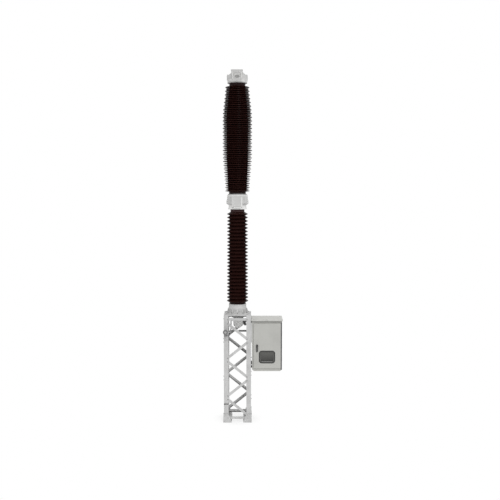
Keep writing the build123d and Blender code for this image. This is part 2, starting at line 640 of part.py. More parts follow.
def gauge_dial():
    """The dial plate inside the ring."""
    return rod_y(GAUGE_RADIUS - GAUGE_RING - DIAL_CLEARANCE, GAUGE_X, GAUGE_Z,
                 GAUGE_FRONT_Y + GAUGE_RECESS - DIAL_THICK, GAUGE_FRONT_Y + GAUGE_RECESS, GAUGE_SIDES)


def gauge_bracket():
    """The plate on the leg and the arm that holds the monitor in front of it."""
    plate = block((GAUGE_X - BRACKET_WIDTH / 2, GAUGE_X + BRACKET_WIDTH / 2), (-HALF - BRACKET_THICK, -HALF),
                  (GAUGE_Z - BRACKET_HEIGHT, GAUGE_Z))
    arm = block((GAUGE_X - ARM_WIDTH / 2, GAUGE_X + ARM_WIDTH / 2), (GAUGE_BACK_Y, -HALF - BRACKET_THICK),
                (GAUGE_Z - ARM_WIDTH, GAUGE_Z))
    return plate + arm


def elbow(x, y, z):
    """The cube fitting at a pipe's corner."""
    return Pos(x, y, z) * Box(ELBOW, ELBOW, ELBOW)


def gas_pipe():
    """The gas pipe from the side of the monitor to the left side of the crank housing."""
    x = -HALF + PIPE_INSET
    y = GAUGE_MIDDLE_Y
    from_gauge = rod_x(PIPE_RADIUS, y, GAUGE_Z, GAUGE_X + GAUGE_RADIUS, x)
    inwards = rod_y(PIPE_RADIUS, x, GAUGE_Z, y, 0)
    upwards = rod(PIPE_RADIUS, GAUGE_Z, SHAFT_Z - GAUGE_Z, x, 0)
    to_crank = rod_x(PIPE_RADIUS, 0, SHAFT_Z, x, CRANK_LEFT)
    corners = elbow(x, y, GAUGE_Z) + elbow(x, 0, GAUGE_Z) + elbow(x, 0, SHAFT_Z)
    return from_gauge + inwards + upwards + to_crank + corners


def conduit():
    """The cable conduit from below the monitor to the cabinet's left wall."""
    x = -HALF + CONDUIT_INSET
    y = GAUGE_MIDDLE_Y
    z = GAUGE_Z - CONDUIT_DROP
    drop = rod(CONDUIT_RADIUS, z, GAUGE_Z - GAUGE_RADIUS - z, GAUGE_X, y)
    across = rod_x(CONDUIT_RADIUS, y, z, GAUGE_X, x)
    inwards = rod_y(CONDUIT_RADIUS, x, z, y, -CONDUIT_DEPTH)
    upwards = rod(CONDUIT_RADIUS, z, CONDUIT_RISE, x, -CONDUIT_DEPTH)
    to_cabinet = rod_x(CONDUIT_RADIUS, -CONDUIT_DEPTH, z + CONDUIT_RISE, x, CABINET_LEFT)
    corners = elbow(GAUGE_X, y, z) + elbow(x, y, z)
    corners += elbow(x, -CONDUIT_DEPTH, z) + elbow(x, -CONDUIT_DEPTH, z + CONDUIT_RISE)
    return drop + across + inwards + upwards + to_cabinet + corners


# Cabinet

def cabinet_outline():
    """The cabinet's outline from the front, with its two chamfered lower corners."""
    shoulder = CABINET_BOTTOM + CABINET_CHAMFER
    return [(CABINET_LEFT, CABINET_TOP), (CABINET_LEFT, shoulder),
            (CABINET_LEFT + CABINET_CHAMFER, CABINET_BOTTOM),
            (CABINET_RIGHT - CABINET_CHAMFER, CABINET_BOTTOM),
            (CABINET_RIGHT, shoulder), (CABINET_RIGHT, CABINET_TOP)]


def cabinet_wall(inner_x, outer_x):
    """One side wall, from the chamfer to the roof."""
    return block((inner_x, outer_x), (FRONT_Y + SHEET, CABINET_BACK - SHEET),
                 (CABINET_BOTTOM + CABINET_CHAMFER, CABINET_TOP))


def cabinet_back():
    """The back wall."""
    return plate_xz(cabinet_outline(), CABINET_BACK - SHEET, CABINET_BACK)


def cabinet_front():
    """The front frame with the door opening."""
    frame = plate_xz(cabinet_outline(), FRONT_Y, FRONT_Y + SHEET)
    opening = block((OPENING_LEFT, OPENING_RIGHT), (FRONT_Y, FRONT_Y + SHEET), (OPENING_BOTTOM, OPENING_TOP))
    return frame - opening


def cabinet_floor():
    """The folded floor between the front frame and the back wall."""
    outline = cabinet_outline()[1:5]
    shoulder = CABINET_BOTTOM + CABINET_CHAMFER
    fold = SHEET * math.tan(math.radians(22.5))
    edge = SHEET * math.sqrt(2)
    corner = CABINET_CHAMFER + fold
    inside = [(CABINET_RIGHT - edge, shoulder), (CABINET_RIGHT - corner, CABINET_BOTTOM + SHEET),
              (CABINET_LEFT + corner, CABINET_BOTTOM + SHEET), (CABINET_LEFT + edge, shoulder)]
    return plate_xz(outline + inside, FRONT_Y + SHEET, CABINET_BACK - SHEET)


def cabinet_roof():
    """The rain roof: a sheet on the walls with a skirt that stands clear of them."""
    left, right = CABINET_LEFT - ROOF_SIDE, CABINET_RIGHT + ROOF_SIDE
    front, back = FRONT_Y - ROOF_FRONT, CABINET_BACK + ROOF_BACK
    cover = block((left, right), (front, back), (CABINET_TOP - ROOF_SKIRT, CABINET_TOP + SHEET))
    return cover - block((left + SHEET, right - SHEET), (front + SHEET, back - SHEET),
                         (CABINET_TOP - ROOF_SKIRT, CABINET_TOP))


def cabinet_mounts(front_heights, back_heights):
    """Two straps that carry the cabinet on the right legs' outer faces."""
    straps = [block((HALF, CABINET_LEFT), (side * HALF, side * (HALF - MOUNT_WIDTH)), heights)
              for side, heights in ((-1, front_heights), (1, back_heights))]
    return Compound(children=[strap.solids()[0] for strap in straps])


def window_block(grow, y_from, y_to):
    """A solid of the window's rounded outline, grown by a margin, between two Y limits."""
    across, up = WINDOW_WIDTH / 2 - WINDOW_CORNER, WINDOW_HEIGHT / 2 - WINDOW_CORNER
    corners = [(across, up), (-across, up), (-across, -up), (across, -up)]
    outline = []
    for quarter, (x, z) in enumerate(corners):
        for step in range(CORNER_FACETS + 1):
            angle = math.pi / 2 * (quarter + step / CORNER_FACETS)
            outline.append((WINDOW_X + x + (WINDOW_CORNER + grow) * math.cos(angle),
                            WINDOW_Z + z + (WINDOW_CORNER + grow) * math.sin(angle)))
    return plate_xz(outline, y_from, y_to)


def knuckle_heights():
    """Bottom of each hinge knuckle."""
    free = (HINGE_TOP - HINGE_BOTTOM - KNUCKLES * KNUCKLE_LENGTH) / (KNUCKLES + 1)
    return [HINGE_BOTTOM + free + index * (free + KNUCKLE_LENGTH) for index in range(KNUCKLES)]


def door():
    """The door: a pan with folded edges, the window cut-out and the hinge knuckles."""
    pan = block((DOOR_LEFT, DOOR_RIGHT), (DOOR_FRONT_Y, DOOR_BACK_Y), (DOOR_BOTTOM, DOOR_TOP))
    pan -= block((DOOR_LEFT + SHEET, DOOR_RIGHT - SHEET), (DOOR_FRONT_Y + SHEET, DOOR_BACK_Y),
                 (DOOR_BOTTOM + SHEET, DOOR_TOP - SHEET))
    pan -= window_block(-GASKET_WIDTH / 2, DOOR_FRONT_Y, DOOR_FRONT_Y + SHEET)
    pan -= rod_y(SPINDLE_RADIUS + RUN_CLEARANCE, HANDLE_X, HANDLE_Z, DOOR_FRONT_Y, DOOR_FRONT_Y + SHEET)
    for z in knuckle_heights():
        heights = (z, z + KNUCKLE_LENGTH)
        arm = block((DOOR_RIGHT - SHEET, HINGE_X), (HINGE_Y - SHEET, HINGE_Y + SHEET), heights)
        knuckle = rod(KNUCKLE_RADIUS, z, KNUCKLE_LENGTH, HINGE_X, HINGE_Y)
        pan += arm + knuckle - bore(HINGE_RADIUS + RUN_CLEARANCE, z, KNUCKLE_LENGTH, HINGE_X, HINGE_Y)
    return pan


def hinge_pin():
    """The long hinge pin on two ears of the front frame."""
    pin = rod(HINGE_RADIUS, HINGE_BOTTOM, HINGE_TOP - HINGE_BOTTOM, HINGE_X, HINGE_Y)
    across = (HINGE_X - HINGE_RADIUS, HINGE_X + HINGE_RADIUS)
    for z in (HINGE_BOTTOM, HINGE_TOP - EAR_HEIGHT):
        pin += block(across, (HINGE_Y, FRONT_Y), (z, z + EAR_HEIGHT))
    return pin


def window_gasket():
    """The rubber profile around the window, stepped over the cut-out's edge."""
    front = DOOR_FRONT_Y - GASKET_PROUD
    ring = window_block(0, front, DOOR_FRONT_Y)
    ring += window_block(-GASKET_WIDTH / 2, DOOR_FRONT_Y, DOOR_FRONT_Y + SHEET)
    return ring - window_block(-GASKET_WIDTH, front, DOOR_FRONT_Y + SHEET)


def window_glass():
    """The pane, held in the gasket."""
    front = DOOR_FRONT_Y + SHEET - GLASS_THICK
    return window_block(-GASKET_WIDTH, front, front + GLASS_THICK)


def escutcheon():
    """The plate of the door handle, on the door skin."""
    front = DOOR_FRONT_Y - ESCUTCHEON_THICK
    plate = block((HANDLE_X - HANDLE_WIDTH / 2, HANDLE_X + HANDLE_WIDTH / 2), (front, DOOR_FRONT_Y),
                  (HANDLE_Z - HANDLE_WIDTH, HANDLE_Z + HANDLE_WIDTH / 2))
    return plate - rod_y(SPINDLE_RADIUS + RUN_CLEARANCE, HANDLE_X, HANDLE_Z, front, DOOR_FRONT_Y)


def handle():
    """The lever handle with its spindle."""
    back = DOOR_FRONT_Y - ESCUTCHEON_THICK - RUN_CLEARANCE
    front = back - HANDLE_THICK
    high = HANDLE_Z + HANDLE_WIDTH / 2
    grip = block((HANDLE_X - HANDLE_WIDTH / 2, HANDLE_X + HANDLE_WIDTH / 2), (front, back),
                 (high - HANDLE_LENGTH, high))
    grip = fillet(grip.edges().filter_by(Axis.Y), HANDLE_WIDTH / 3)
    return grip + rod_y(SPINDLE_RADIUS, HANDLE_X, HANDLE_Z, back, DOOR_BACK_Y - SHEET)


# Spring drive

def drive_frame():
    """The drive's mounting plate on two posts that stand on the cabinet's floor."""
    left, right = CABINET_LEFT + DRIVE_PLATE_EDGE, CABINET_RIGHT - DRIVE_PLATE_EDGE
    plate_back = DRIVE_PLATE_Y + DRIVE_PLATE_THICK
    heights = (CABINET_BOTTOM + SHEET, CABINET_TOP)
    posts = [block((x, x + POST_WIDTH), (plate_back, plate_back + POST_DEPTH), heights)
             for x in (left, right - POST_WIDTH)]
    plate = block((left, right), (DRIVE_PLATE_Y, plate_back),
                  (CABINET_BOTTOM + PLATE_RISE, CABINET_TOP - FRAME_TOP))
    return plate + posts


def drive_springs():
    """The closing and the opening spring, in upright housings on the plate."""
    y = DRIVE_PLATE_Y - SPRING_RADIUS
    low = CABINET_BOTTOM + SPRING_RISE
    springs = [rod(SPRING_RADIUS, low, SPRING_HEIGHT, CABINET_MIDDLE + side * SPRING_SPREAD / 2, y)
               for side in (-1, 1)]
    return Compound(children=[spring.solids()[0] for spring in springs])


def drive_gearbox():
    """The gearbox between the springs, with the charging motor hung below it."""
    low = CABINET_BOTTOM + GEAR_RISE
    housing = block((CABINET_MIDDLE - GEAR_WIDTH / 2, CABINET_MIDDLE + GEAR_WIDTH / 2),
                    (DRIVE_PLATE_Y - GEAR_DEPTH, DRIVE_PLATE_Y), (low, low + GEAR_HEIGHT))
    motor_y = DRIVE_PLATE_Y - GEAR_DEPTH / 2
    motor = rod(MOTOR_RADIUS, low - MOTOR_LENGTH, MOTOR_LENGTH, CABINET_MIDDLE, motor_y)
    return housing + motor


def build():
    """Every sub-part by name."""
    corners = ["front_left", "front_right", "back_right", "back_left"]
    sides = ["front", "right", "back", "left"]
    parts = {}
    for quarter, corner in enumerate(corners):
        parts["leg_" + corner] = turn_about_axis(leg(), quarter)
        parts["foot_" + corner] = turn_about_axis(foot(), quarter)
    for quarter, side in enumerate(sides):
        parts["bracing_" + side] = turn_about_axis(bracing(), quarter)
    upper_top = CABINET_TOP - UPPER_MOUNT_DROP
    upper_heights = (upper_top - UPPER_MOUNT_HEIGHT, upper_top)
    front_foot = CABINET_BOTTOM + LOWER_MOUNT_RISE
    back_foot = CABINET_BOTTOM + BACK_MOUNT_RISE
    parts["upper_mounts"] = cabinet_mounts(upper_heights, upper_heights)
    parts["lower_mounts"] = cabinet_mounts((front_foot, front_foot + LOWER_MOUNT_HEIGHT),
                                           (back_foot, back_foot + BACK_MOUNT_HEIGHT))
    parts["cabinet_left_wall"] = cabinet_wall(CABINET_LEFT, CABINET_LEFT + SHEET)
    parts["cabinet_right_wall"] = cabinet_wall(CABINET_RIGHT - SHEET, CABINET_RIGHT)
    makers = [
        top_plate, earth_clamp, base_casting, crank_housing, crank_shaft, crank_lever, pull_rod,
        support_insulator, middle_housing, lower_terminal, chamber_fitting, chamber_insulator, top_fitting,
        top_cap, upper_terminal, gauge_body, gauge_dial, gauge_bracket, gas_pipe, conduit, cabinet_back,
        cabinet_front, cabinet_floor, cabinet_roof, hinge_pin, door, window_gasket, window_glass,
        escutcheon, handle, drive_frame, drive_springs, drive_gearbox]
    for maker in makers:
        parts[maker.__name__] = maker()
    return parts


def main():
    """Writes one file for each sub-part."""
    os.makedirs("parts", exist_ok=True)
    for name, shape in build().items():
        export_step(shape, os.path.join("parts", name + ".step"))


main()
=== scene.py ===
import json
import math

import bmesh
import bpy
from bpy.props import FloatProperty, FloatVectorProperty, IntProperty, PointerProperty
from mathutils import Matrix, Vector


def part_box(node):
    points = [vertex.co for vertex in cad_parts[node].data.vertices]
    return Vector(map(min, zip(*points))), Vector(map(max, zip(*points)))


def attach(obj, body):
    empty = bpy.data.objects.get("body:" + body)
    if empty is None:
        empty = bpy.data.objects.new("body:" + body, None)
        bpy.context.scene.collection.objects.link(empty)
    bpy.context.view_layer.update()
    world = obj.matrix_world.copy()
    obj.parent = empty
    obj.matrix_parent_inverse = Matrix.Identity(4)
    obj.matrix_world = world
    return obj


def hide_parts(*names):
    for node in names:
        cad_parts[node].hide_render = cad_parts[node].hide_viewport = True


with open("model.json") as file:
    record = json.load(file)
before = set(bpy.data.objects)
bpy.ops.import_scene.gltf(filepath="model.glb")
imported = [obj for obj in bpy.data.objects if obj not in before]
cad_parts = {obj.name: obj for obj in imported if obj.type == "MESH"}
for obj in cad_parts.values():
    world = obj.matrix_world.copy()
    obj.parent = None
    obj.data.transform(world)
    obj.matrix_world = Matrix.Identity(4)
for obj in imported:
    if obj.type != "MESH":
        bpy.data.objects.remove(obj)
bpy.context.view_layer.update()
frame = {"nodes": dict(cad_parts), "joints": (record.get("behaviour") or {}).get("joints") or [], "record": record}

# The looks of one outdoor gas insulated breaker pole: glazed insulators, castings, a galvanised
# lattice stand, the gas density monitor and the drive cabinet. Metres, in the solid model's frame.

bl_info = {
    "name": "Gas Insulated Breaker Pole",
    "version": (1, 0, 0),
    "blender": (4, 5, 0),
    "location": "View3D > Sidebar > Breaker",
    "description": "Dresses the solid model of an outdoor gas insulated breaker pole",
    "category": "Object",
}

# Camera of the photograph, and the studio
CAMERA_PLACE = (0.243, -14.2, 4.373)
CAMERA_TILT = math.radians(4.15)
CAMERA_LENS = 52.63
FLOOR_DROP = 0.0006
FLOOR_SIZE = 60.0
FLOOR_GREY = (0.93, 0.93, 0.93, 1)
FLOOR_WHITE = 0.72              # share of plain white in the floor at the feet
FLOOR_FADE = (0.28, 0.50)       # from and to where the floor turns white, from the pole's axis
SUN_TURN = (math.radians(48), 0, math.radians(17))
SUN_SPREAD = math.radians(20)

# Ways that a face can look, and the turn that stands a flat outline up to face the front
UP, DOWN = (0, 0, 1), (0, 0, -1)
LEFT, RIGHT = (-1, 0, 0), (1, 0, 0)
FRONT, BACK = (0, -1, 0), (0, 1, 0)
STANDING = Matrix.Rotation(math.pi / 2, 4, "X")

# Shapes that several pieces share
SMOOTH_ANGLE = math.radians(32)
ROUND = 96                      # facets around the castings
TUBE_SIDES = 18
HEXAGON = 6
EDGE_WEAR = 0.0012              # bevel on the edges of folded and rolled steel
WELD_REACH = 0.00002

# Stand
BRACE_ROWS = 5
RAIL_HEIGHT = 0.050
BRACE_TOP_GAP = 0.073           # from the top rail's upper edge to the bracing
BRACE_FOOT_GAP = 0.052          # from the low rail's lower edge to the bracing
BOLT_INSET = 0.0765             # from the stand's corner to a bar's bolt
BAR_BOLT_DROP = 0.036           # from a panel's top or bottom to the bolt
FOOT_THICK = 0.020

# Terminals
PAD_THICK = 0.028
PAD_FOOT_THICK = 0.022
PAD_BOLT_PLACE = 0.062          # from the middle to a bolt of the foot
SHADOW_OVAL_STRETCH = 1.45             # width of the dark oval on a terminal's foot that paints the pad's shadow, as a share of its height

# Gas density monitor: from the stand's left side to the upright runs of its pipes
GAS_PIPE_INSET = 0.1325
CONDUIT_INSET = 0.1085

# Bolts: half the width across the head's corners
BOLT_TINY = 0.006
BOLT_SMALL = 0.009
BOLT_MEDIUM = 0.011
BOLT_LARGE = 0.019

# Painted steel of the small pieces
STEEL_COAT = {"roughness": 0.5, "depth": 0.0003, "wear": 0.7}


def colour_setting(name, description, default):
    """A colour that can be changed in the panel."""
    return FloatVectorProperty(name=name, description=description, default=default, subtype="COLOR",
                               min=0, max=1)


class BreakerInsulatorSettings(bpy.types.PropertyGroup):
    """Sizes and colour of the two insulators."""

    segments: IntProperty(name="Segments", description="Facets around an insulator",
                          default=96, min=24, max=160)
    support_sheds: IntProperty(name="Support sheds", description="Sheds of the lower insulator",
                               default=26, min=4)
    chamber_sheds: IntProperty(name="Chamber sheds", description="Large sheds of the upper insulator",
                               default=29, min=4)
    small_share: FloatProperty(name="Small sheds", default=0.8, min=0.2, max=1, subtype="FACTOR",
                               description="Reach of a small shed, as a share of a large one's")
    tip: FloatProperty(name="Shed tip", description="Thickness of a shed at its rim",
                       default=0.012, unit="LENGTH")
    glaze: colour_setting("Glaze", "Colour of the glaze", (0.0135, 0.0042, 0.0034))
    dust: colour_setting("Dust", "Colour of the dust on the sheds", (0.017, 0.0075, 0.0062))
    neck: colour_setting("Neck", "Colour of the plain necks", (0.028, 0.016, 0.016))


class BreakerMetalSettings(bpy.types.PropertyGroup):
    """Colours of the castings, the stand and the small metal pieces."""

    zinc: colour_setting("Zinc", "Galvanised steel", (0.525, 0.525, 0.522))
    casting: colour_setting("Casting", "Cast aluminium", (0.530, 0.529, 0.523))
    dark: colour_setting("Dark steel", "Hinges and earthing clamp", (0.085, 0.085, 0.087))
    linkage: colour_setting("Linkage", "Shaft, lever, rod and conduit", (0.27, 0.27, 0.27))
    bolt: colour_setting("Bolts", "Bolts and nuts", (0.36, 0.36, 0.36))


class BreakerCabinetSettings(bpy.types.PropertyGroup):
    """Colours of the drive cabinet."""

    paint: colour_setting("Paint", "Powder coat of the cabinet", (0.435, 0.435, 0.412))
    black: colour_setting("Black", "Handle and gasket", (0.018, 0.018, 0.018))
    glass: colour_setting("Glass", "Smoked pane of the window", (0.068, 0.068, 0.063))


class BreakerStageSettings(bpy.types.PropertyGroup):
    """Light of the studio."""

    sky: FloatProperty(name="Sky", description="Strength of the light from all around", default=0.74, min=0)
    sun: FloatProperty(name="Sun", description="Strength of the soft key light", default=1.22, min=0)


# Mesh making

def circle(radius, sides, turn=0.0):
    """Points (x, y) of a circle about its middle."""
    angles = [math.tau * (index + turn) / sides for index in range(sides)]
    return [(radius * math.cos(angle), radius * math.sin(angle)) for angle in angles]


def ring_places(count, radius, z, turn=0.0):
    """Points on a circle around the pole."""
    return [Vector((x, y, z)) for x, y in circle(radius, count, turn)]


def rounded_rectangle(width, height, corner, steps=10):
    """Points of a rectangle with round corners, about its middle."""
    points = []
    for quarter, (x, y) in enumerate(((1, 1), (-1, 1), (-1, -1), (1, -1))):
        for step in range(steps + 1):
            angle = math.pi / 2 * (quarter + step / steps)
            points.append((x * (width / 2 - corner) + corner * math.cos(angle),
                           y * (height / 2 - corner) + corner * math.sin(angle)))
    return points


def rounded_path(points, bend, steps=8):
    """The points of a bent pipe: straight runs joined by arcs of one radius."""
    corners = [Vector(point) for point in points]
    path = [corners[0]]
    for before, corner, after in zip(corners, corners[1:], corners[2:]):
        back, ahead = (before - corner).normalized(), (after - corner).normalized()
        half_turn = (math.pi - back.angle(ahead)) / 2
        start, end = corner + back * bend * math.tan(half_turn), corner + ahead * bend * math.tan(half_turn)
        centre = corner + (back + ahead).normalized() * bend / math.cos(half_turn)
        for step in range(steps + 1):
            spoke = (start - centre).lerp(end - centre, step / steps)
            path.append(centre + spoke.normalized() * bend)
    return path + [corners[-1]]


def middle_of(node):
    """The middle of a node's box."""
    low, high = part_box(node)
    return (low + high) / 2


def facing(point, direction):
    """A placement at a point whose Z axis looks in a direction."""
    turn = Vector(direction).to_track_quat("Z", "Y").to_matrix().to_4x4()
    return Matrix.Translation(point) @ turn


def join_rings(bm, rings, endless=False):
    """Joins rings of as many points each, and closes both ends or, if endless, joins last to first."""
    faces = []
    for ring, other in zip(rings, rings[1:] + rings[:1] if endless else rings[1:]):
        for index, point in enumerate(ring):
            after = (index + 1) % len(ring)
            faces.append(bm.faces.new((point, ring[after], other[after], other[index])))
    if not endless:
        faces += [bm.faces.new(list(reversed(rings[0]))), bm.faces.new(rings[-1])]
    return faces


def add_rings(bm, place, rings, endless=False):
    """Adds a skin through rings, each an (x, y) outline and its height."""
    made = [[bm.verts.new(place @ Vector((x, y, z))) for x, y in outline] for outline, z in rings]
    return join_rings(bm, made, endless)


def add_turned(bm, outline, place=Matrix.Identity(4), sides=ROUND):
    """Adds a closed solid turned about Z from (radius, height) points."""
    add_rings(bm, place, [(circle(radius, sides), z) for radius, z in outline])


def add_prism(bm, outline, place, depth, bevel=0.0):
    """Adds a plate from an (x, y) outline, pushed along Z, with its edges rounded."""
    faces = add_rings(bm, place, [(outline, 0), (outline, depth)])
    if bevel:
        edges = list({edge for face in faces for edge in face.edges})
        bmesh.ops.bevel(bm, geom=edges, offset=bevel, segments=2, affect="EDGES", clamp_overlap=True)


def add_block(bm, corner, opposite, bevel=0.002):
    """Adds a box between two opposite corners, with its edges rounded."""
    (left, right), (near, far), (foot, top) = (sorted(pair) for pair in zip(corner, opposite))
    outline = [(left, near), (right, near), (right, far), (left, far)]
    add_prism(bm, outline, Matrix.Translation((0, 0, foot)), top - foot, bevel)


def add_webs(bm, angles, outline, thick, bevel=0.002):
    """Adds upright webs at angles around the pole, in degrees, from a (radius, height) outline."""
    for angle in angles:
        turn = Matrix.Rotation(math.radians(angle), 4, "Z")
        add_prism(bm, outline, turn @ Matrix.Translation((0, thick / 2, 0)) @ STANDING, thick, bevel)


def evenly(count):
    """Angles evenly around the pole in degrees, the first one half a step on."""
    return [360 * (index + 0.5) / count for index in range(count)]


def add_tube(bm, path, radius, sides=TUBE_SIDES):
    """Adds a closed round tube along a path."""
    rings = []
    normal = Vector((0.3, 0.5, 0.8))
    for index, point in enumerate(path):
        tangent = (path[min(index + 1, len(path) - 1)] - path[max(index - 1, 0)]).normalized()
        normal = (normal - tangent * normal.dot(tangent)).normalized()
        side_way = tangent.cross(normal)
        rings.append([bm.verts.new(point + normal * x + side_way * y) for x, y in circle(radius, sides)])
    join_rings(bm, rings)


def add_bolt(bm, point, direction, size):
    """Adds a hexagon bolt with its washer on a face."""
    place = facing(point, direction)
    washer = 0.2 * size
    head = washer + 0.95 * size
    add_turned(bm, [(1.35 * size, 0), (1.35 * size, washer)], place, 14)
    add_turned(bm, [(size, washer), (size, head - 0.12 * size), (0.86 * size, head)], place, HEXAGON)


def add_nut(bm, point, direction, size):
    """Adds a nut on its washer, with the end of the stud."""
    place = facing(point, direction)
    washer = 0.25 * size
    top = washer + 1.15 * size
    add_turned(bm, [(1.5 * size, 0), (1.5 * size, washer)], place, 16)
    add_turned(bm, [(0.9 * size, washer), (size, washer + 0.1 * size), (size, top - 0.1 * size),
                    (0.9 * size, top)], place, HEXAGON)
    add_turned(bm, [(0.52 * size, top), (0.52 * size, top + 0.7 * size), (0.42 * size, top + 0.8 * size)],
               place, 12)


def make_piece(name, bm, finish, body="root", replaced=(), look=None):
    """Turns a bmesh into a piece that rides on a body and takes the material of its look, or else of its finish.
    """
    bmesh.ops.recalc_face_normals(bm, faces=bm.faces)
    for face in bm.faces:
        face.smooth = True
    for edge in bm.edges:
        edge.smooth = edge.is_manifold and edge.calc_face_angle(0) < SMOOTH_ANGLE
    mesh = bpy.data.meshes.new(name)
    bm.to_mesh(mesh)
    bm.free()
    mesh.materials.append(made_finish(look or finish))
    piece = bpy.data.objects.new(name, mesh)
    bpy.context.scene.collection.objects.link(piece)
    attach(piece, body)
    if replaced:
        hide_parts(*replaced)


def make_turned(name, outline, finish, place=Matrix.Identity(4), sides=ROUND, **riding):
    """A piece that is one turned solid."""
    bm = bmesh.new()
    add_turned(bm, outline, place, sides)
    make_piece(name, bm, finish, **riding)


def make_blocks(name, blocks, finish, body="root", bevel=0.002):
    """A piece of boxes, each between two opposite corners."""
    bm = bmesh.new()
    for corner, opposite in blocks:
        add_block(bm, corner, opposite, bevel)
    make_piece(name, bm, finish, body)


def make_fasteners(name, places, direction, size, add=add_bolt, finish="bright_steel", look=None):
    """A piece of like bolts or nuts that look one way."""
    bm = bmesh.new()
    for place in places:
        add(bm, place, direction, size)
    make_piece(name, bm, finish, look=look)


# Material making

def add_node(tree, kind, inputs=None, **settings):
    """Adds a shader node, with its settings and with values or links for its inputs."""
    node = tree.nodes.new("ShaderNode" + kind)
    for key, value in settings.items():
        setattr(node, key, value)
    for key, value in (inputs or {}).items():
        if isinstance(value, bpy.types.NodeSocket):
            tree.links.new(value, node.inputs[key])
        else:
            node.inputs[key].default_value = value
    return node


def made_finish(name):
    """The material made under a name: the frame's own plain ones have the bare names."""
    return bpy.data.materials[f"{name}_made"]


def new_material(name, **values):
    """An empty surface and its shader node."""
    material = bpy.data.materials.new(f"{name}_made")
    material.use_nodes = True
    tree = material.node_tree
    shader = tree.nodes["Principled BSDF"]
    for key, value in values.items():
        shader.inputs[key.replace("_", " ")].default_value = value
    return tree, shader


def calculated(tree, operation, first, second=0.0):
    """The result of one step of arithmetic."""
    return add_node(tree, "Math", {0: first, 1: second}, operation=operation).outputs[0]


def grain(tree, scale, stretch=(1, 1, 1), detail=4.0):
    """Noise over the piece, in its own coordinates."""
    place = add_node(tree, "TexCoord").outputs["Object"]
    mapping = add_node(tree, "Mapping", {"Vector": place, "Scale": stretch})
    noise = add_node(tree, "TexNoise", {"Vector": mapping.outputs[0], "Scale": scale, "Detail": detail})
    return noise.outputs["Fac"]


def spread(tree, value, low, high, out_low=0.0, out_high=1.0):
    """Maps a value's range to another one, clamped."""
    inputs = {"Value": value, "From Min": low, "From Max": high, "To Min": out_low, "To Max": out_high}
    return add_node(tree, "MapRange", inputs).outputs[0]


def blended(tree, share, first, second):
    """A colour between two colours."""
    mix = add_node(tree, "Mix", data_type="RGBA")
    for socket, value in ((mix.inputs[0], share), (mix.inputs[6], first), (mix.inputs[7], second)):
        if isinstance(value, bpy.types.NodeSocket):
            tree.links.new(value, socket)
        else:
            socket.default_value = value if isinstance(value, float) else (*value[:3], 1)
    return mix.outputs[2]


def shaded(colour, factor):
    """A lighter or darker version of a colour."""
    return [min(1.0, channel * factor) for channel in colour]


def clouded(tree, base, over, scale, low, high, most=1.0, stretch=(1, 1, 1)):
    """A colour with another one over it where a grain is strong, up to the most that may cover it."""
    return blended(tree, spread(tree, grain(tree, scale, stretch), low, high, 0.0, most), base, over)


def vertical_part(tree, output):
    """The Z of each point's Position or Normal."""
    geometry = add_node(tree, "NewGeometry").outputs[output]
    return add_node(tree, "SeparateXYZ", {"Vector": geometry}).outputs["Z"]


def facing_up(tree, low, high):
    """How far a surface faces up, from 0 to 1 between two limits of its normal."""
    return spread(tree, vertical_part(tree, "Normal"), low, high)


def upright(tree):
    """One on upright surfaces, such as a shed's rim."""
    slope = calculated(tree, "ABSOLUTE", vertical_part(tree, "Normal"))
    return spread(tree, slope, 0.3, 0.6, 1.0, 0.0)


def inner_side(tree):
    """One where a surface of the stand faces the stand's middle."""
    place = add_node(tree, "NewGeometry").outputs
    level = add_node(tree, "VectorMath", {0: place["Position"], 1: (1, 1, 0)}, operation="MULTIPLY")
    outward = add_node(tree, "VectorMath", {0: level.outputs[0], 1: place["Normal"]}, operation="DOT_PRODUCT")
    return spread(tree, outward.outputs["Value"], -0.16, -0.06, 1.0, 0.0)


def between_heights(tree, low, high):
    """One between two heights above the ground."""
    height = vertical_part(tree, "Position")
    return calculated(tree, "MULTIPLY", calculated(tree, "GREATER_THAN", height, low),
                      calculated(tree, "LESS_THAN", height, high))


def set_surface(tree, shader, colour, rough, relief=None, depth=0.0):
    """Links the colour, a roughness that wanders between two values at a scale, and relief of a depth."""
    low, high, scale = rough
    tree.links.new(colour, shader.inputs["Base Color"])
    tree.links.new(spread(tree, grain(tree, scale), 0.3, 0.7, low, high), shader.inputs["Roughness"])
    if relief is not None:
        bump = add_node(tree, "Bump", {"Height": relief, "Strength": 1.0, "Distance": depth})
        tree.links.new(bump.outputs[0], shader.inputs["Normal"])


def make_zinc(colour, plate_height):
    """Hot dip galvanised steel: spangle, dull patches, rain streaks, painted light on faces inside the stand, and
    grime with painted shade on the shelves.
    """
    tree, shader = new_material("galvanised_steel", Metallic=0.1, Specular_IOR_Level=0.3)
    place = add_node(tree, "TexCoord").outputs["Object"]
    flakes = add_node(tree, "TexVoronoi", {"Vector": place, "Scale": 70.0}).outputs["Color"]
    flake = spread(tree, add_node(tree, "RGBToBW", {"Color": flakes}).outputs[0], 0.1, 0.9)
    base = blended(tree, flake, shaded(colour, 0.95), shaded(colour, 1.05))
    base = clouded(tree, base, shaded(colour, 0.88), 5.0, 0.42, 0.68)
    base = clouded(tree, base, shaded(colour, 0.8), 30.0, 0.55, 0.75, 0.35, (1, 1, 0.05))
    # Painted light: faces inside the stand, which get little light there, are painted paler than the outside ones.
    base = blended(tree, inner_side(tree), base, shaded(colour, 1.1))
    # Grime with painted shade: what faces up on the bars' shelves, between the feet and the top plate, is painted
    # nearly black.
    shelf_grime_and_shade = calculated(tree, "MULTIPLY", facing_up(tree, 0.5, 0.75),
                       between_heights(tree, FOOT_THICK + 0.01, plate_height))
    base = blended(tree, shelf_grime_and_shade, base, shaded(colour, 0.1))
    set_surface(tree, shader, base, (0.48, 0.68, 22.0), grain(tree, 160.0), 0.0006)


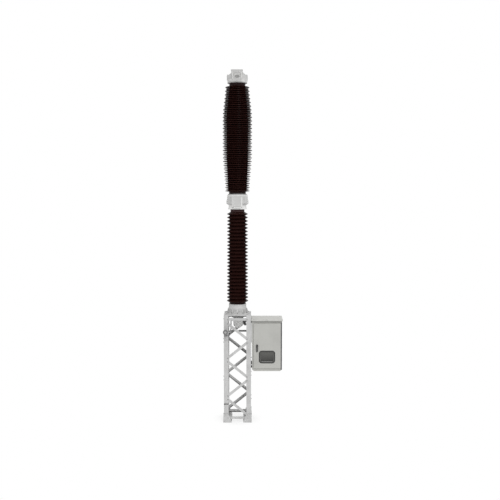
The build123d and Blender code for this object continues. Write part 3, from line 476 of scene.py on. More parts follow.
def make_casting(name, colour, painted_light_heights=None):
    """Sand cast aluminium: fine grain, clouds and rain streaks, and painted light between two heights, much paler,
    where a shadow falls.
    """
    tree, shader = new_material(name, Metallic=0.05, Specular_IOR_Level=0.3)
    base = clouded(tree, shaded(colour, 1.02), shaded(colour, 0.93), 7.0, 0.38, 0.7)
    base = clouded(tree, base, shaded(colour, 0.78), 34.0, 0.56, 0.78, 0.28, (1, 1, 0.06))
    # Painted light: between the two heights the colour is much paler, to lift the shadow that falls there.
    if painted_light_heights:
        base = blended(tree, between_heights(tree, *painted_light_heights), base, shaded(colour, 1.75))
    set_surface(tree, shader, base, (0.5, 0.7, 40.0), grain(tree, 420.0, detail=2.0), 0.0005)


def make_glaze(name, colour, dust, rim):
    """Dark brown porcelain glaze with a painted sheen, paler on upright faces such as the rims, and a little dust
    on what faces up.
    """
    tree, shader = new_material(name, Specular_IOR_Level=0.04)
    base = clouded(tree, shaded(colour, 0.8), shaded(colour, 1.4), 14.0, 0.35, 0.7)
    cover = calculated(tree, "MULTIPLY", facing_up(tree, 0.3, 0.95),
                       spread(tree, grain(tree, 9.0), 0.3, 0.75, 0.3, 1.0))
    base = blended(tree, cover, base, dust)
    # Painted sheen: upright faces, the rims of the sheds, are painted paler by the rim factor.
    base = blended(tree, upright(tree), base, shaded(colour, rim))
    set_surface(tree, shader, base, (0.2, 0.34, 18.0), grain(tree, 60.0, detail=1.0), 0.0002)


def make_paint(name, colour, roughness=0.45, depth=0.00015, wear=0.9, top=1.0):
    """Powder coat: orange peel, faint clouds, runs of rain, and a top painted paler as painted light."""
    tree, shader = new_material(name, Specular_IOR_Level=0.35)
    base = clouded(tree, colour, shaded(colour, wear), 2.6, 0.4, 0.7)
    base = clouded(tree, base, shaded(colour, 0.84 * wear), 26.0, 0.56, 0.8, 0.3, (1, 1, 0.035))
    # Painted light: what faces up is painted paler by the top factor.
    base = blended(tree, facing_up(tree, 0.5, 0.9), base, shaded(colour, top))
    set_surface(tree, shader, base, (roughness - 0.07, roughness + 0.08, 12.0),
                grain(tree, 320.0, detail=1.0), depth)


def make_brushed(name, colour, roughness):
    """Bright metal with fine scratches."""
    tree, shader = new_material(name, Metallic=0.5, Specular_IOR_Level=0.3)
    scratches = grain(tree, 120.0, (1, 1, 9))
    base = blended(tree, scratches, shaded(colour, 0.85), shaded(colour, 1.1))
    set_surface(tree, shader, base, (roughness, roughness + 0.15, 50.0), scratches, 0.0001)


def make_moulded(name, colour, roughness):
    """Moulded plastic or rubber with a fine grain."""
    tree, shader = new_material(name)
    base = blended(tree, grain(tree, 30.0), colour, shaded(colour, 1.8))
    set_surface(tree, shader, base, (roughness, roughness + 0.15, 60.0),
                grain(tree, 700.0, detail=1.0), 0.0002)


def make_glass(name, colour, transmission, low, high):
    """A pane of smoked glass, darker towards its bottom and paler towards its top, with faint clouds."""
    tree, shader = new_material(name, Transmission_Weight=transmission, IOR=1.48)
    height_share = spread(tree, vertical_part(tree, "Position"), low, high)
    base = blended(tree, height_share, shaded(colour, 0.38), shaded(colour, 1.5))
    base = clouded(tree, base, shaded(colour, 1.3), 5.0, 0.4, 0.8, 0.3)
    set_surface(tree, shader, base, (0.16, 0.24, 8.0))


def dress_node(node, material):
    """Gives a solid of the model its material and worn edges."""
    node.data.materials.clear()
    node.data.materials.append(material)
    weld = node.modifiers.new("weld", "WELD")
    weld.merge_threshold = WELD_REACH
    bevel = node.modifiers.new("worn edges", "BEVEL")
    bevel.width = EDGE_WEAR
    bevel.segments = 2
    bevel.limit_method = "ANGLE"
    bevel.angle_limit = SMOOTH_ANGLE


class BREAKER_OT_finishes(bpy.types.Operator):
    """Make every finish and give each solid of the model its own"""

    bl_idname = "breaker.finishes"
    bl_label = "Finishes"

    def metals(self, metal):
        """Zinc, the casting with paler and darker copies that paint light and shade, painted steel and bright
        bolts.
        """
        make_zinc(metal.zinc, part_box("top_plate")[0].z)
        # Copies of the casting: the machined grade is paler, for machined faces and for painted light; the rough
        # grade is darker, for as-cast faces and for painted shade; the crank grade is paler as painted light.
        for grade, share in (("cast", 1.0), ("machined_painted_light", 1.38), ("rough", 0.76), ("crank", 1.48)):
            make_casting(f"{grade}_aluminium", shaded(metal.casting, share))
        # The terminals: a copy of the casting painted darker as painted shade, and painted light from a foot's
        # bottom up to its pad's underside, in the pad's shadow.
        pad_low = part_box("upper_terminal")[1].z - PAD_THICK
        make_casting("terminal_painted_light_aluminium", shaded(metal.casting, 0.86), (pad_low - 0.120, pad_low + 0.0005))
        make_paint("dark_steel", metal.dark, **STEEL_COAT)
        make_paint("linkage_steel", metal.linkage, **STEEL_COAT)
        make_paint("strap_steel", shaded(metal.dark, 0.3), **STEEL_COAT)
        make_paint("conduit_grey", shaded(metal.linkage, 0.75), 0.5, 0.0003, wear=0.8)
        make_brushed("bright_steel", metal.bolt, 0.45)

    def porcelain(self, insulators):
        """The glaze of the sheds, and three shades of it on the necks."""
        # The sheds' rims are painted paler as a painted sheen.
        make_glaze("brown_porcelain", insulators.glaze, insulators.dust, 1.9)
        # Neck shades: the plain and pale ones are a lighter glaze band with a painted sheen in their colour.
        for name, share in (("dark", 0.5), ("plain", 1.0), ("pale", 1.9)):
            colour = shaded(insulators.neck, share)
            make_glaze(f"porcelain_neck_{name}", colour, shaded(colour, 1.2), 1.0)

    def coats(self, cabinet):
        """Paint, plastic, rubber and glass of the cabinet, its drive and the monitor."""
        # The cabinet's roof and other tops are painted paler as painted light.
        make_paint("grey_paint", cabinet.paint, top=1.25)
        make_paint("gauge_paint", (0.18, 0.18, 0.18), 0.4, 0.0001)
        make_paint("drive_grey", (0.30, 0.32, 0.33), 0.5, 0.0003)
        make_paint("spring_paint", (0.045, 0.045, 0.05), 0.32)
        make_paint("dial_white", (0.54, 0.54, 0.53), 0.35, 0.00005, wear=0.96)
        make_moulded("black_plastic", cabinet.black, 0.42)
        make_moulded("black_rubber", cabinet.black, 0.62)
        make_moulded("lip_rubber", shaded(cabinet.glass, 1.1), 0.62)
        pane_low, pane_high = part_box("window_glass")
        make_glass("smoked_glass", cabinet.glass, 0.12, pane_low.z, pane_high.z)

    def execute(self, context):
        self.metals(context.scene.breaker_metal)
        self.porcelain(context.scene.breaker_insulators)
        self.coats(context.scene.breaker_cabinet)
        special = {"upper_terminal": "terminal_painted_light_aluminium", "lower_terminal": "terminal_painted_light_aluminium",
                   "crank_lever": "linkage_steel", "pull_rod": "linkage_steel"}
        for row in frame["record"]["subparts"]:
            finish = special.get(row["node"], row["material_slot"])
            dress_node(frame["nodes"][row["node"]], made_finish(finish))
        return {"FINISHED"}


# Insulators

def smooth(share):
    """Rises from 0 to 1 with level ends."""
    share = min(max(share, 0.0), 1.0)
    return share * share * (3 - 2 * share)


def shed(core, tip, z, half, rim, root):
    """Outline points of one shed, from mid gap out to a rounded rim and back: root is how full it starts."""
    throat = core + 0.14 * (tip - core)
    edge = 0.5 * rim
    return [(core, z - half), (throat, z - (root - 0.04) * half), (tip - 0.9 * rim, z - edge - 0.14 * half),
            (tip - 0.25 * rim, z - 0.8 * edge), (tip, z - 0.2 * edge), (tip - 0.1 * rim, z + 0.6 * edge),
            (tip - 0.4 * rim, z + edge), (throat, z + root * half)]


def insulator_outline(foot, head, sheds, core_at, tip_at, root_at, rim, shares=(1.0,)):
    """The outline between two necks, each (radius, height, length): sheds whose reach has shares in turn."""
    first, last = foot[1] + foot[2], head[1] - head[2]
    half = (last - first) / (sheds - 1) / 2
    points = [(foot[0], foot[1]), (foot[0], first - 1.25 * half)]
    for index in range(sheds):
        z = first + index * 2 * half
        core = core_at(z)
        share = shares[index % len(shares)]
        points += shed(core, core + share * (tip_at(z) - core), z, half, rim, root_at(z))
    return points + [(core_at(last), last + half), (head[0], last + 1.25 * half), (head[0], head[1])]


class BREAKER_OT_insulators(bpy.types.Operator):
    """Turn the two ribbed insulators"""

    bl_idname = "breaker.insulators"
    bl_label = "Insulators"

    def neck_band(self, name, shade, radius, low, high):
        """A plain glazed band at an insulator's foot or head."""
        inner, outer, round_off = radius - 0.001, radius + 0.0015, 0.002
        make_turned(name, [(inner, low), (outer, low + round_off), (outer, high - round_off), (inner, high)],
                    "brown_porcelain", look=f"porcelain_neck_{shade}")

    def support(self, settings):
        """The lower insulator: even sheds that narrow a little upwards."""
        low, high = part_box("support_insulator")
        cores, tips, fullness = (0.160, 0.151), (0.208, 0.203), 0.82
        first_neck, last_neck = 0.050, 0.098

        def tapered(sizes, z):
            return sizes[0] + (sizes[1] - sizes[0]) * (z - low.z) / (high.z - low.z)

        outline = insulator_outline((0.156, low.z, first_neck), (0.134, high.z, last_neck),
                                    settings.support_sheds, lambda z: tapered(cores, z),
                                    lambda z: tapered(tips, z), lambda z: fullness, settings.tip)
        make_turned("support_insulator_sheds", outline, "brown_porcelain", sides=settings.segments,
                    replaced=["support_insulator"])
        self.neck_band("support_insulator_foot_band", "dark", 0.1575, low.z - 0.009, low.z + 0.012)
        self.neck_band("support_insulator_head_band", "pale", 0.1345, high.z - 0.058, high.z - 0.001)

    def chamber(self, settings):
        """The upper insulator: a barrel with large and small sheds in turn, fuller towards the foot."""
        low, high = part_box("chamber_insulator")
        belly_from, belly_to = 0.38, 0.68
        cores, tips = (0.173, 0.204, 0.146), (0.235, 0.285, 0.229)
        first_neck, last_neck = 0.058, 0.074
        foot_fullness, upper_fullness, slim_from = 0.95, 0.48, 0.45

        def share_of(z):
            return (z - low.z) / (high.z - low.z)

        def barrel(sizes, z):
            foot, belly, head = sizes
            if share_of(z) < belly_to:
                return foot + (belly - foot) * smooth(share_of(z) / belly_from)
            return belly + (head - belly) * smooth((share_of(z) - belly_to) / (1 - belly_to))

        def fullness(z):
            return foot_fullness - (foot_fullness - upper_fullness) * min(1.0, share_of(z) / slim_from)

        outline = insulator_outline((0.162, low.z, first_neck), (0.153, high.z, last_neck),
                                    2 * settings.chamber_sheds - 1, lambda z: barrel(cores, z),
                                    lambda z: barrel(tips, z), fullness, settings.tip,
                                    (1.0, settings.small_share))
        make_turned("chamber_insulator_sheds", outline, "brown_porcelain", sides=settings.segments,
                    replaced=["chamber_insulator"])
        self.neck_band("chamber_insulator_foot_band", "plain", 0.162, low.z + 0.001, low.z + 0.034)
        self.neck_band("chamber_insulator_head_band", "plain", 0.153, high.z - 0.050, high.z - 0.001)

    def execute(self, context):
        settings = context.scene.breaker_insulators
        self.support(settings)
        self.chamber(settings)
        return {"FINISHED"}


# Castings

class BREAKER_OT_castings(bpy.types.Operator):
    """Make the castings of the pole, with their ribs, bosses and bolts"""

    bl_idname = "breaker.castings"
    bl_label = "Castings"

    def base(self):
        """The ribbed cone on the top plate, with its webs and nuts, the thin webs painted darker as painted shade.
        """
        low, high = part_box("base_casting")
        z, radius = low.z, high.y
        foot, waist, root, nut_circle, ledge = 0.192, 0.174, 0.160, 0.2105, z + 0.022
        bm = bmesh.new()
        add_turned(bm, [
            (radius, z), (radius, ledge - 0.004), (radius - 0.004, ledge), (foot + 0.004, ledge),
            (foot - 0.003, z + 0.032), (waist, z + 0.113), (0.1675, z + 0.156), (0.1705, z + 0.162),
            (0.1705, z + 0.184), (0.166, z + 0.190), (0.1575, z + 0.191), (0.156, high.z)])
        add_webs(bm, evenly(12), [
            (root, ledge - 0.001), (radius - 0.014, ledge - 0.001), (radius - 0.016, ledge + 0.012),
            (foot, z + 0.096), (foot - 0.006, z + 0.101), (root, z + 0.101)], 0.012)
        make_piece("base_casting_ribbed", bm, "cast_aluminium", replaced=["base_casting"])
        # Painted shade: the thin webs take the darker copy of the casting, for the shade between the ribs.
        bm = bmesh.new()
        add_webs(bm, evenly(24), [
            (root, ledge - 0.001), (0.1945, ledge - 0.001), (0.1945, z + 0.044), (0.186, z + 0.098),
            (0.176, z + 0.103), (root, z + 0.103)], 0.008, 0.0015)
        make_piece("base_casting_webs", bm, "cast_aluminium", look="rough_aluminium")
        make_fasteners("base_casting_nuts", ring_places(12, nut_circle, ledge), UP, BOLT_MEDIUM, add_nut)

    def housing(self):
        """The housing between the insulators: flanges, bolted covers front and back, ribs and webs."""
        low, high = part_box("middle_housing")
        z, top, reach, side_reach = low.z, high.z, high.y, high.x
        boss_low, boss_high, half, corner = z + 0.040, top - 0.036, 0.095, 0.024
        boss_middle, boss_height, flat = (boss_low + boss_high) / 2, boss_high - boss_low, half - corner
        wall, wall_foot, draft, root, rib = 0.2095, z + 0.110, 0.0125 / 0.132, 0.150, 0.028
        bm = bmesh.new()
        add_turned(bm, [
            (0.160, z + 0.072), (0.171, z + 0.074), (0.206, z + 0.098), (0.210, z + 0.102), (wall, wall_foot),
            (0.1975, top - 0.026), (0.196, top - 0.0235)])
        boss = [(-half, 0.12), (-half, reach - corner), (-flat, reach), (flat, reach), (half, reach - corner),
                (half, 0.12)]
        cover = rounded_rectangle(2 * flat - 0.006, boss_height - 0.030, 0.030)
        foot = Matrix.Translation((0, 0, boss_low))
        for side in (-1, 1):
            add_prism(bm, [(x, side * y) for x, y in boss], foot, boss_height, 0.005)
            place = facing((0, side * (reach - 0.001), boss_middle), (0, side, 0))
            add_prism(bm, cover, place, 0.004, 0.0015)
            for rib_reach, rib_foot, rib_top in ((side_reach, z + 0.101, z + 0.166),
                                                 (side_reach - 0.013, z + 0.160, top - 0.001)):
                add_block(bm, (side * root, -rib, rib_foot), (side * rib_reach, rib, rib_top), 0.003)
        add_webs(bm, (50, 130, 230, 310), [
            (0.17, z + 0.103), (0.214, z + 0.103), (0.214, top - 0.040), (0.206, top - 0.028),
            (0.17, top - 0.028)], 0.012)
        make_piece("middle_housing_cast", bm, "cast_aluminium", replaced=["middle_housing"])
        self.housing_painted_light_faces(z, top, reach, (boss_low, boss_height), (half, flat, root))
        bm = bmesh.new()
        # Rows of bolts beside the side ribs, at shares of a full turn from the right
        rows, first_row, row_pitch, turns = 4, z + 0.124, 0.038, (-0.06, 0.06, 0.44, 0.56)
        for row in range(rows):
            height = first_row + row_pitch * row
            for turn in turns:
                point = ring_places(1, wall - draft * (height - wall_foot), height, turn)[0]
                add_bolt(bm, point, (point.x, point.y, 0), BOLT_SMALL)
        for side in (-1, 1):
            for height in (boss_low + 0.020, boss_middle, boss_high - 0.020):
                for x in (-0.061, 0.061):
                    add_bolt(bm, (x, side * (reach + 0.001), height), (0, side, 0), BOLT_TINY)
        screw_circle, screw = 0.170, 0.005
        for point in ring_places(12, screw_circle, z + 0.024, 0.5):
            add_bolt(bm, point, UP, screw)
        # Painted light: the bolts take the paler copy of the casting, painted pale in place of their shade.
        make_piece("middle_housing_bolts", bm, "bright_steel", look="machined_painted_light_aluminium")

    def housing_painted_light_faces(self, z, top, reach, boss, widths):
        """The housing's faces in the paler copy of the casting, machined and painted light: its flanges, the
        fillers below the bosses and painted highlights on the bosses' corners.
        """
        boss_low, boss_height = boss
        half, flat, root = widths
        bm = bmesh.new()
        add_turned(bm, [
            (0.178, z - 0.007), (0.182, z - 0.005), (0.182, z + 0.021), (0.178, z + 0.024),
            (0.170, z + 0.028), (0.170, z + 0.076), (0.161, z + 0.077)])
        add_turned(bm, [(0.197, top - 0.0245), (0.1995, top - 0.022), (0.1995, top - 0.004), (0.196, top)])
        corner = half - flat
        edge = rounded_rectangle(math.sqrt(2) * corner - 0.003, boss_height - 0.012, 0.003)
        # Fillers below the bosses, and thin strips on the bosses' corners that are painted highlights.
        for side in (-1, 1):
            add_block(bm, (-flat, side * root, z + 0.0235), (flat, side * (reach - 0.006), boss_low + 0.004))
            for hand in (-1, 1):
                point = (hand * (half - corner / 2), side * (reach - corner / 2), boss_low + boss_height / 2)
                add_prism(bm, edge, facing(point, (hand, side, 0)), 0.0015, 0.0004)
        make_piece("middle_housing_painted_light", bm, "cast_aluminium", look="machined_painted_light_aluminium")

    def fitting(self, node):
        """A cemented flange of the chamber insulator."""
        low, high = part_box(node)
        z, top, radius = low.z, high.z, high.y
        make_turned(f"{node}_cast", [
            (radius - 0.016, z), (radius, z + 0.006), (radius, top - 0.005), (radius - 0.003, top - 0.002),
            (radius - 0.012, top)], "cast_aluminium", replaced=[node])

    def cap(self):
        """The cap: neck, lugs below the rim, bolted rim and a shallow dome."""
        low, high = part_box("top_cap")
        z, top, rim = low.z, high.z, high.x
        bm = bmesh.new()
        add_turned(bm, [
            (0.180, z + 0.0405), (rim + 0.001, z + 0.042), (rim + 0.001, z + 0.123), (rim - 0.003, z + 0.130),
            (rim - 0.022, z + 0.132), (rim - 0.034, z + 0.140), (0.120, top - 0.010), (0.108, top - 0.003),
            (0.100, top)])
        add_block(bm, (-0.095, low.y + 0.001, z + 0.041), (0.095, -0.090, z + 0.169), 0.005)
        make_piece("top_cap_cast", bm, "cast_aluminium", replaced=["top_cap"])
        bm = bmesh.new()
        add_turned(bm, [
            (0.187, z), (0.190, z + 0.003), (0.190, z + 0.012), (0.187, z + 0.018), (0.190, z + 0.028),
            (rim, z + 0.032), (rim + 0.001, z + 0.036), (rim + 0.0005, z + 0.0415), (0.186, z + 0.042)])
        add_webs(bm, evenly(8), [
            (0.170, z + 0.004), (0.191, z + 0.004), (rim + 0.001, z + 0.040), (0.170, z + 0.040)], 0.018)
        # The ring takes the paler copy of the casting: machined, with painted light.
        make_piece("top_cap_ring", bm, "cast_aluminium", look="machined_painted_light_aluminium")
        # The bolts that would stand in the terminal's block at the front are left out
        bolt_circle, block_from, block_half = 0.1885, -0.12, 0.11
        clear = [point for point in ring_places(12, bolt_circle, z + 0.130, 0.5)
                 if point.y > block_from or abs(point.x) > block_half]
        make_fasteners("top_cap_bolts", clear, UP, BOLT_SMALL)

    def terminal_bolts(self):
        """Bolts that hold the terminals' feet on their bosses, painted light, and the dark oval between them that
        paints the shadow below the pad.
        """
        bm = bmesh.new()
        shadow_ovals = bmesh.new()
        for node, side in (("upper_terminal", -1), ("lower_terminal", 1)):
            low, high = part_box(node)
            face_y = (high.y if side < 0 else low.y) + side * PAD_FOOT_THICK
            for x in (-PAD_BOLT_PLACE, PAD_BOLT_PLACE):
                for z in (low.z + 0.022, high.z - 0.052):
                    add_bolt(bm, (x, face_y, z), (0, side, 0), BOLT_SMALL)
            # Painted shadow: a dark oval on each foot, below its pad.
            place = facing((0, face_y, (low.z + high.z - PAD_THICK) / 2 - 0.012), (0, side, 0))
            oval = place @ Matrix.Diagonal((SHADOW_OVAL_STRETCH, 1, 1, 1))
            add_turned(shadow_ovals, [(0.031, 0), (0.031, 0.002), (0.028, 0.004)], oval, 40)
        # Painted light: the feet's bolts take the paler copy of the casting.
        make_piece("terminal_foot_bolts", bm, "bright_steel", look="machined_painted_light_aluminium")
        make_piece("terminal_foot_shadow_ovals", shadow_ovals, "cast_aluminium", look="rough_aluminium")

    def crank(self):
        """The crank housing below the top plate, painted paler as painted light, with its cover screws."""
        low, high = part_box("crank_housing")
        flange, neck, flange_top = high.y, 0.122, high.z - 0.044
        left, right, half, tip, middle = -0.082, 0.107, 0.095, 0.015, 0.0125
        body_top = flange_top - 0.020
        side_foot = body_top - 0.160
        bm = bmesh.new()
        add_turned(bm, [
            (flange, body_top), (flange, flange_top - 0.003), (flange - 0.003, flange_top),
            (neck + 0.004, flange_top), (neck, flange_top + 0.004), (neck, high.z)])
        outline = [(left, body_top), (left, side_foot), (middle - tip, low.z), (middle + tip, low.z),
                   (right, side_foot), (right, body_top)]
        add_prism(bm, outline, Matrix.Translation((0, half, 0)) @ STANDING, 2 * half, 0.012)
        shaft = middle_of("crank_shaft")
        place = facing((shaft.x, half, shaft.z), BACK)
        add_turned(bm, [(0.036, 0), (0.036, 0.005), (0.033, 0.008)], place, 40)
        # Painted light: the housing takes a paler copy of the casting, against the shade below the top plate.
        make_piece("crank_housing_cast", bm, "cast_aluminium", "root", ["crank_housing"], "crank_aluminium")
        bm = bmesh.new()
        inset, screw, stud, stud_circle = 0.018, 0.007, 0.008, 0.136
        spots = [(x, z) for x in (left + inset, right - inset) for z in (body_top - inset, side_foot)]
        for x, z in spots + [(middle, low.z + 1.5 * inset)]:
            for side in (-1, 1):
                add_bolt(bm, (x, side * half, z), (0, side, 0), screw)
        for point in ring_places(8, stud_circle, flange_top, 0.5):
            add_nut(bm, point, UP, stud)
        make_piece("crank_housing_screws", bm, "bright_steel")

    def linkage(self):
        """The round shaft of the crank, and the sleeve, locknut and bellows on its pull rod."""
        low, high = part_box("crank_shaft")
        shaft, radius, length = middle_of("crank_shaft"), (high.z - low.z) / 2, high.y - low.y
        round_off = 0.003
        make_turned("crank_shaft_turned", [
            (radius - round_off, 0), (radius, round_off), (radius, length - round_off),
            (radius - round_off, length)], "dark_steel", facing((shaft.x, low.y, shaft.z), BACK), 40,
            replaced=["crank_shaft"], look="linkage_steel")
        low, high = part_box("pull_rod")
        rod, start, bellows, folds = middle_of("pull_rod"), low.x + 0.064, 0.055, 7
        radius = (high.z - low.z) / 2
        place = facing((start, rod.y, rod.z), RIGHT)
        bm = bmesh.new()
        locknut, sleeve = radius + 0.007, radius + 0.0006
        add_turned(bm, [(locknut, 0), (locknut, 0.016), (locknut - 0.002, 0.018)], place, HEXAGON)
        add_turned(bm, [(sleeve, 0.017), (sleeve, high.x - start - bellows)], place, 32)
        make_piece("pull_rod_sleeve", bm, "dark_steel", look="linkage_steel")
        half_fold = bellows / (2 * folds - 1)
        outline = []
        for fold in range(folds):
            along = 2 * fold * half_fold
            outline += [(radius + 0.002, along), (radius + 0.008, along + half_fold)]
        make_turned("pull_rod_bellows", outline, "black_rubber",
                    facing((high.x - bellows - 0.001, rod.y, rod.z), RIGHT), 36)

    def execute(self, context):
        self.base()
        self.housing()
        self.fitting("chamber_fitting")
        self.fitting("top_fitting")
        self.cap()
        self.terminal_bolts()
        self.crank()
        self.linkage()
        return {"FINISHED"}


# Stand

class BREAKER_OT_stand(bpy.types.Operator):
    """Add the bolts, anchor nuts and earthing clamp of the lattice stand"""

    bl_idname = "breaker.stand"
    bl_label = "Stand"

    def bar_bolts(self):
        """Bolts where the bracing meets the legs, on all four sides."""
        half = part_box("top_plate")[1].x
        low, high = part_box("bracing_front")
        first, last = high.z - BRACE_TOP_GAP, low.z + BRACE_FOOT_GAP
        pitch = (first - last) / BRACE_ROWS
        heights = [(side, z) for side in (-1, 1) for z in (low.z + RAIL_HEIGHT / 2, high.z - RAIL_HEIGHT / 2)]
        for row in range(BRACE_ROWS):
            top = first - row * pitch
            ends = (top - BAR_BOLT_DROP, top - pitch + BAR_BOLT_DROP)
            heights += [(-1, ends[row % 2]), (1, ends[1 - row % 2])]
        bm = bmesh.new()
        for quarter in range(4):
            turn = Matrix.Rotation(math.tau * quarter / 4, 4, "Z")
            outward = turn @ Vector(FRONT)
            for side, z in heights:
                add_bolt(bm, turn @ Vector((side * (half - BOLT_INSET), -half, z)), outward, BOLT_SMALL)
        make_piece("bracing_bolts", bm, "bright_steel")

    def anchors(self):
        """A nut and the stud of the foundation bolt on each foot."""
        half = frame["record"]["mounts"][0]["dims"]["spacing_x_mm"] / 2000
        studs = [(x, y, FOOT_THICK) for x in (-half, half) for y in (-half, half)]
        make_fasteners("anchor_nuts", studs, UP, BOLT_LARGE, add_nut, finish="galvanised_steel")

    def clamp(self):
        """The earthing clamp around the front left leg: a strap, its block and two bolts."""
        low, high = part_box("earth_clamp")
        strap_y, block_width = high.y - 0.006, 0.034
        bm = bmesh.new()
        add_block(bm, (low.x, strap_y, low.z + 0.003), (high.x, high.y, high.z - 0.003), 0.001)
        add_block(bm, (low.x, low.y, low.z + 0.001), (low.x + block_width, strap_y, high.z - 0.001))
        make_piece("earth_clamp_strap", bm, "dark_steel", replaced=["earth_clamp"], look="strap_steel")
        places = [(x, strap_y, (low.z + high.z) / 2) for x in (low.x + block_width + 0.012, high.x - 0.012)]
        make_fasteners("earth_clamp_bolts", places, FRONT, BOLT_TINY, finish="dark_steel", look="strap_steel")

    def execute(self, context):
        self.bar_bolts()
        self.anchors()
        self.clamp()
        return {"FINISHED"}


# Gas density monitor

class BREAKER_OT_monitor(bpy.types.Operator):
    """Make the gas density monitor, its dial and its pipes"""

    bl_idname = "breaker.monitor"
    bl_label = "Gas density monitor"

    ring = 0.030
    recess = 0.006

    def case(self, centre, radius, depth):
        """The case with its broad front ring, and the glass edge inside it."""
        inner, body = radius - self.ring, radius - 0.004
        make_turned("gauge_case", [
            (radius - 0.008, 0), (body, 0.004), (body, depth - 0.020), (radius, depth - 0.016),
            (radius, depth - 0.004), (body, depth), (inner + 0.008, depth), (inner + 0.006, depth - 0.002),
            (inner, depth - self.recess)],
            "black_plastic", facing((centre.x, centre.y + depth / 2, centre.z), FRONT), 64,
            replaced=["gauge_body"], look="gauge_paint")

    def dial(self, centre, radius, depth):
        """The dial with its scale and the pointer."""
        face = centre.y - depth / 2 + self.recess - 0.001
        reach = radius - self.ring - 0.001
        make_turned("gauge_dial_plate", [(reach, 0), (reach, 0.001)], "dial_white",
                    facing((centre.x, face, centre.z), FRONT), 48, replaced=["gauge_dial"])

        def on_dial(lift, degrees):
            turn = Matrix.Rotation(math.radians(degrees), 4, "Y")
            return Matrix.Translation((centre.x, face - lift, centre.z)) @ turn @ STANDING

        spaces, start, sweep, pointer, outer = 24, -225, 270, -62, reach * 0.92
        bm = bmesh.new()
        for step in range(spaces + 1):
            inner, thick = (reach * 0.72, 0.0009) if step % 4 == 0 else (reach * 0.80, 0.0005)
            add_prism(bm, [(inner, -thick), (outer, -thick), (outer, thick), (inner, thick)],
                      on_dial(0.0010, start + sweep * step / spaces), 0.0004)
        add_prism(bm, [(-0.010, -0.0016), (reach * 0.78, -0.0004), (reach * 0.78, 0.0004), (-0.010, 0.0016)],
                  on_dial(0.0016, pointer), 0.0006)
        add_turned(bm, [(0.0045, 0), (0.0045, 0.002), (0.003, 0.003)],
                   facing((centre.x, face - 0.001, centre.z), FRONT), 20)
        make_piece("gauge_scale_and_pointer", bm, "black_plastic")

    def gas_pipe(self, centre, radius, half, fitting):
        """The bent gas pipe to the crank housing, with its two unions."""
        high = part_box("gas_pipe")[1]
        x, y, top = GAS_PIPE_INSET - half, centre.y, high.z - fitting
        corners = [(centre.x + radius, y, centre.z), (x, y, centre.z), (x, 0, centre.z), (x, 0, top),
                   (high.x, 0, top)]
        bm = bmesh.new()
        add_tube(bm, rounded_path(corners, 0.020), 0.0105)
        for point in ((centre.x + radius - 0.004, y, centre.z), (high.x - 0.022, 0, top)):
            add_turned(bm, [(0.015, 0), (0.015, 0.018), (0.012, 0.022)], facing(point, RIGHT), HEXAGON)
        make_piece("gas_pipe_bent", bm, "bright_steel", replaced=["gas_pipe"])

    def conduit(self, centre, radius, half, fitting):
        """The bent conduit to the cabinet, with its union and its ribbed sleeve."""
        low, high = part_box("conduit")
        x, z, last_z = CONDUIT_INSET - half, low.z + fitting, high.z - fitting
        y, y_end = centre.y, -0.100
        corners = [(centre.x, y, centre.z - radius), (centre.x, y, z), (x, y, z), (x, y_end, z),
                   (x, y_end, last_z), (high.x, y_end, last_z)]
        bm = bmesh.new()
        add_tube(bm, rounded_path(corners, 0.014), 0.0118)
        add_turned(bm, [(0.014, 0), (0.014, 0.016), (0.012, 0.02)],
                   facing((centre.x, y, centre.z - radius + 0.002), DOWN), HEXAGON)
        make_piece("conduit_bent", bm, "dark_steel", replaced=["conduit"], look="conduit_grey")
        ripple, folds, sleeve_from, cuff = 0.010, 17, 0.028, 0.016
        outline = [(0.014, 0), (0.020, 0), (0.020, cuff)]
        for fold in range(folds):
            along = cuff + 0.002 + fold * ripple
            outline += [(0.0150, along), (0.0182, along + 0.35 * ripple), (0.0182, along + 0.65 * ripple)]
        end = cuff + 0.002 + folds * ripple
        outline += [(0.020, end), (0.020, end + cuff), (0.014, end + cuff)]
        make_turned("conduit_sleeve", outline, "dark_steel", facing((sleeve_from, y_end, last_z), RIGHT), 32,
                    look="conduit_grey")

    def bracket_bolts(self, centre):
        """The four bolts of the bracket on the leg."""
        low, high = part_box("gauge_bracket")
        face = -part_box("top_plate")[1].y - 0.008
        places = [(centre.x + offset, face, z) for z in (low.z + 0.014, high.z - 0.052)
                  for offset in (-0.024, 0.024)]
        make_fasteners("gauge_bracket_bolts", places, FRONT, BOLT_TINY)

    def execute(self, context):
        low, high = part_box("gauge_body")
        centre, radius, depth = middle_of("gauge_body"), (high.z - low.z) / 2, high.y - low.y
        stand_half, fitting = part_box("top_plate")[1].x, 0.015
        self.case(centre, radius, depth)
        self.dial(centre, radius, depth)
        self.gas_pipe(centre, radius, stand_half, fitting)
        self.conduit(centre, radius, stand_half, fitting)
        self.bracket_bolts(centre)
        return {"FINISHED"}


# Cabinet

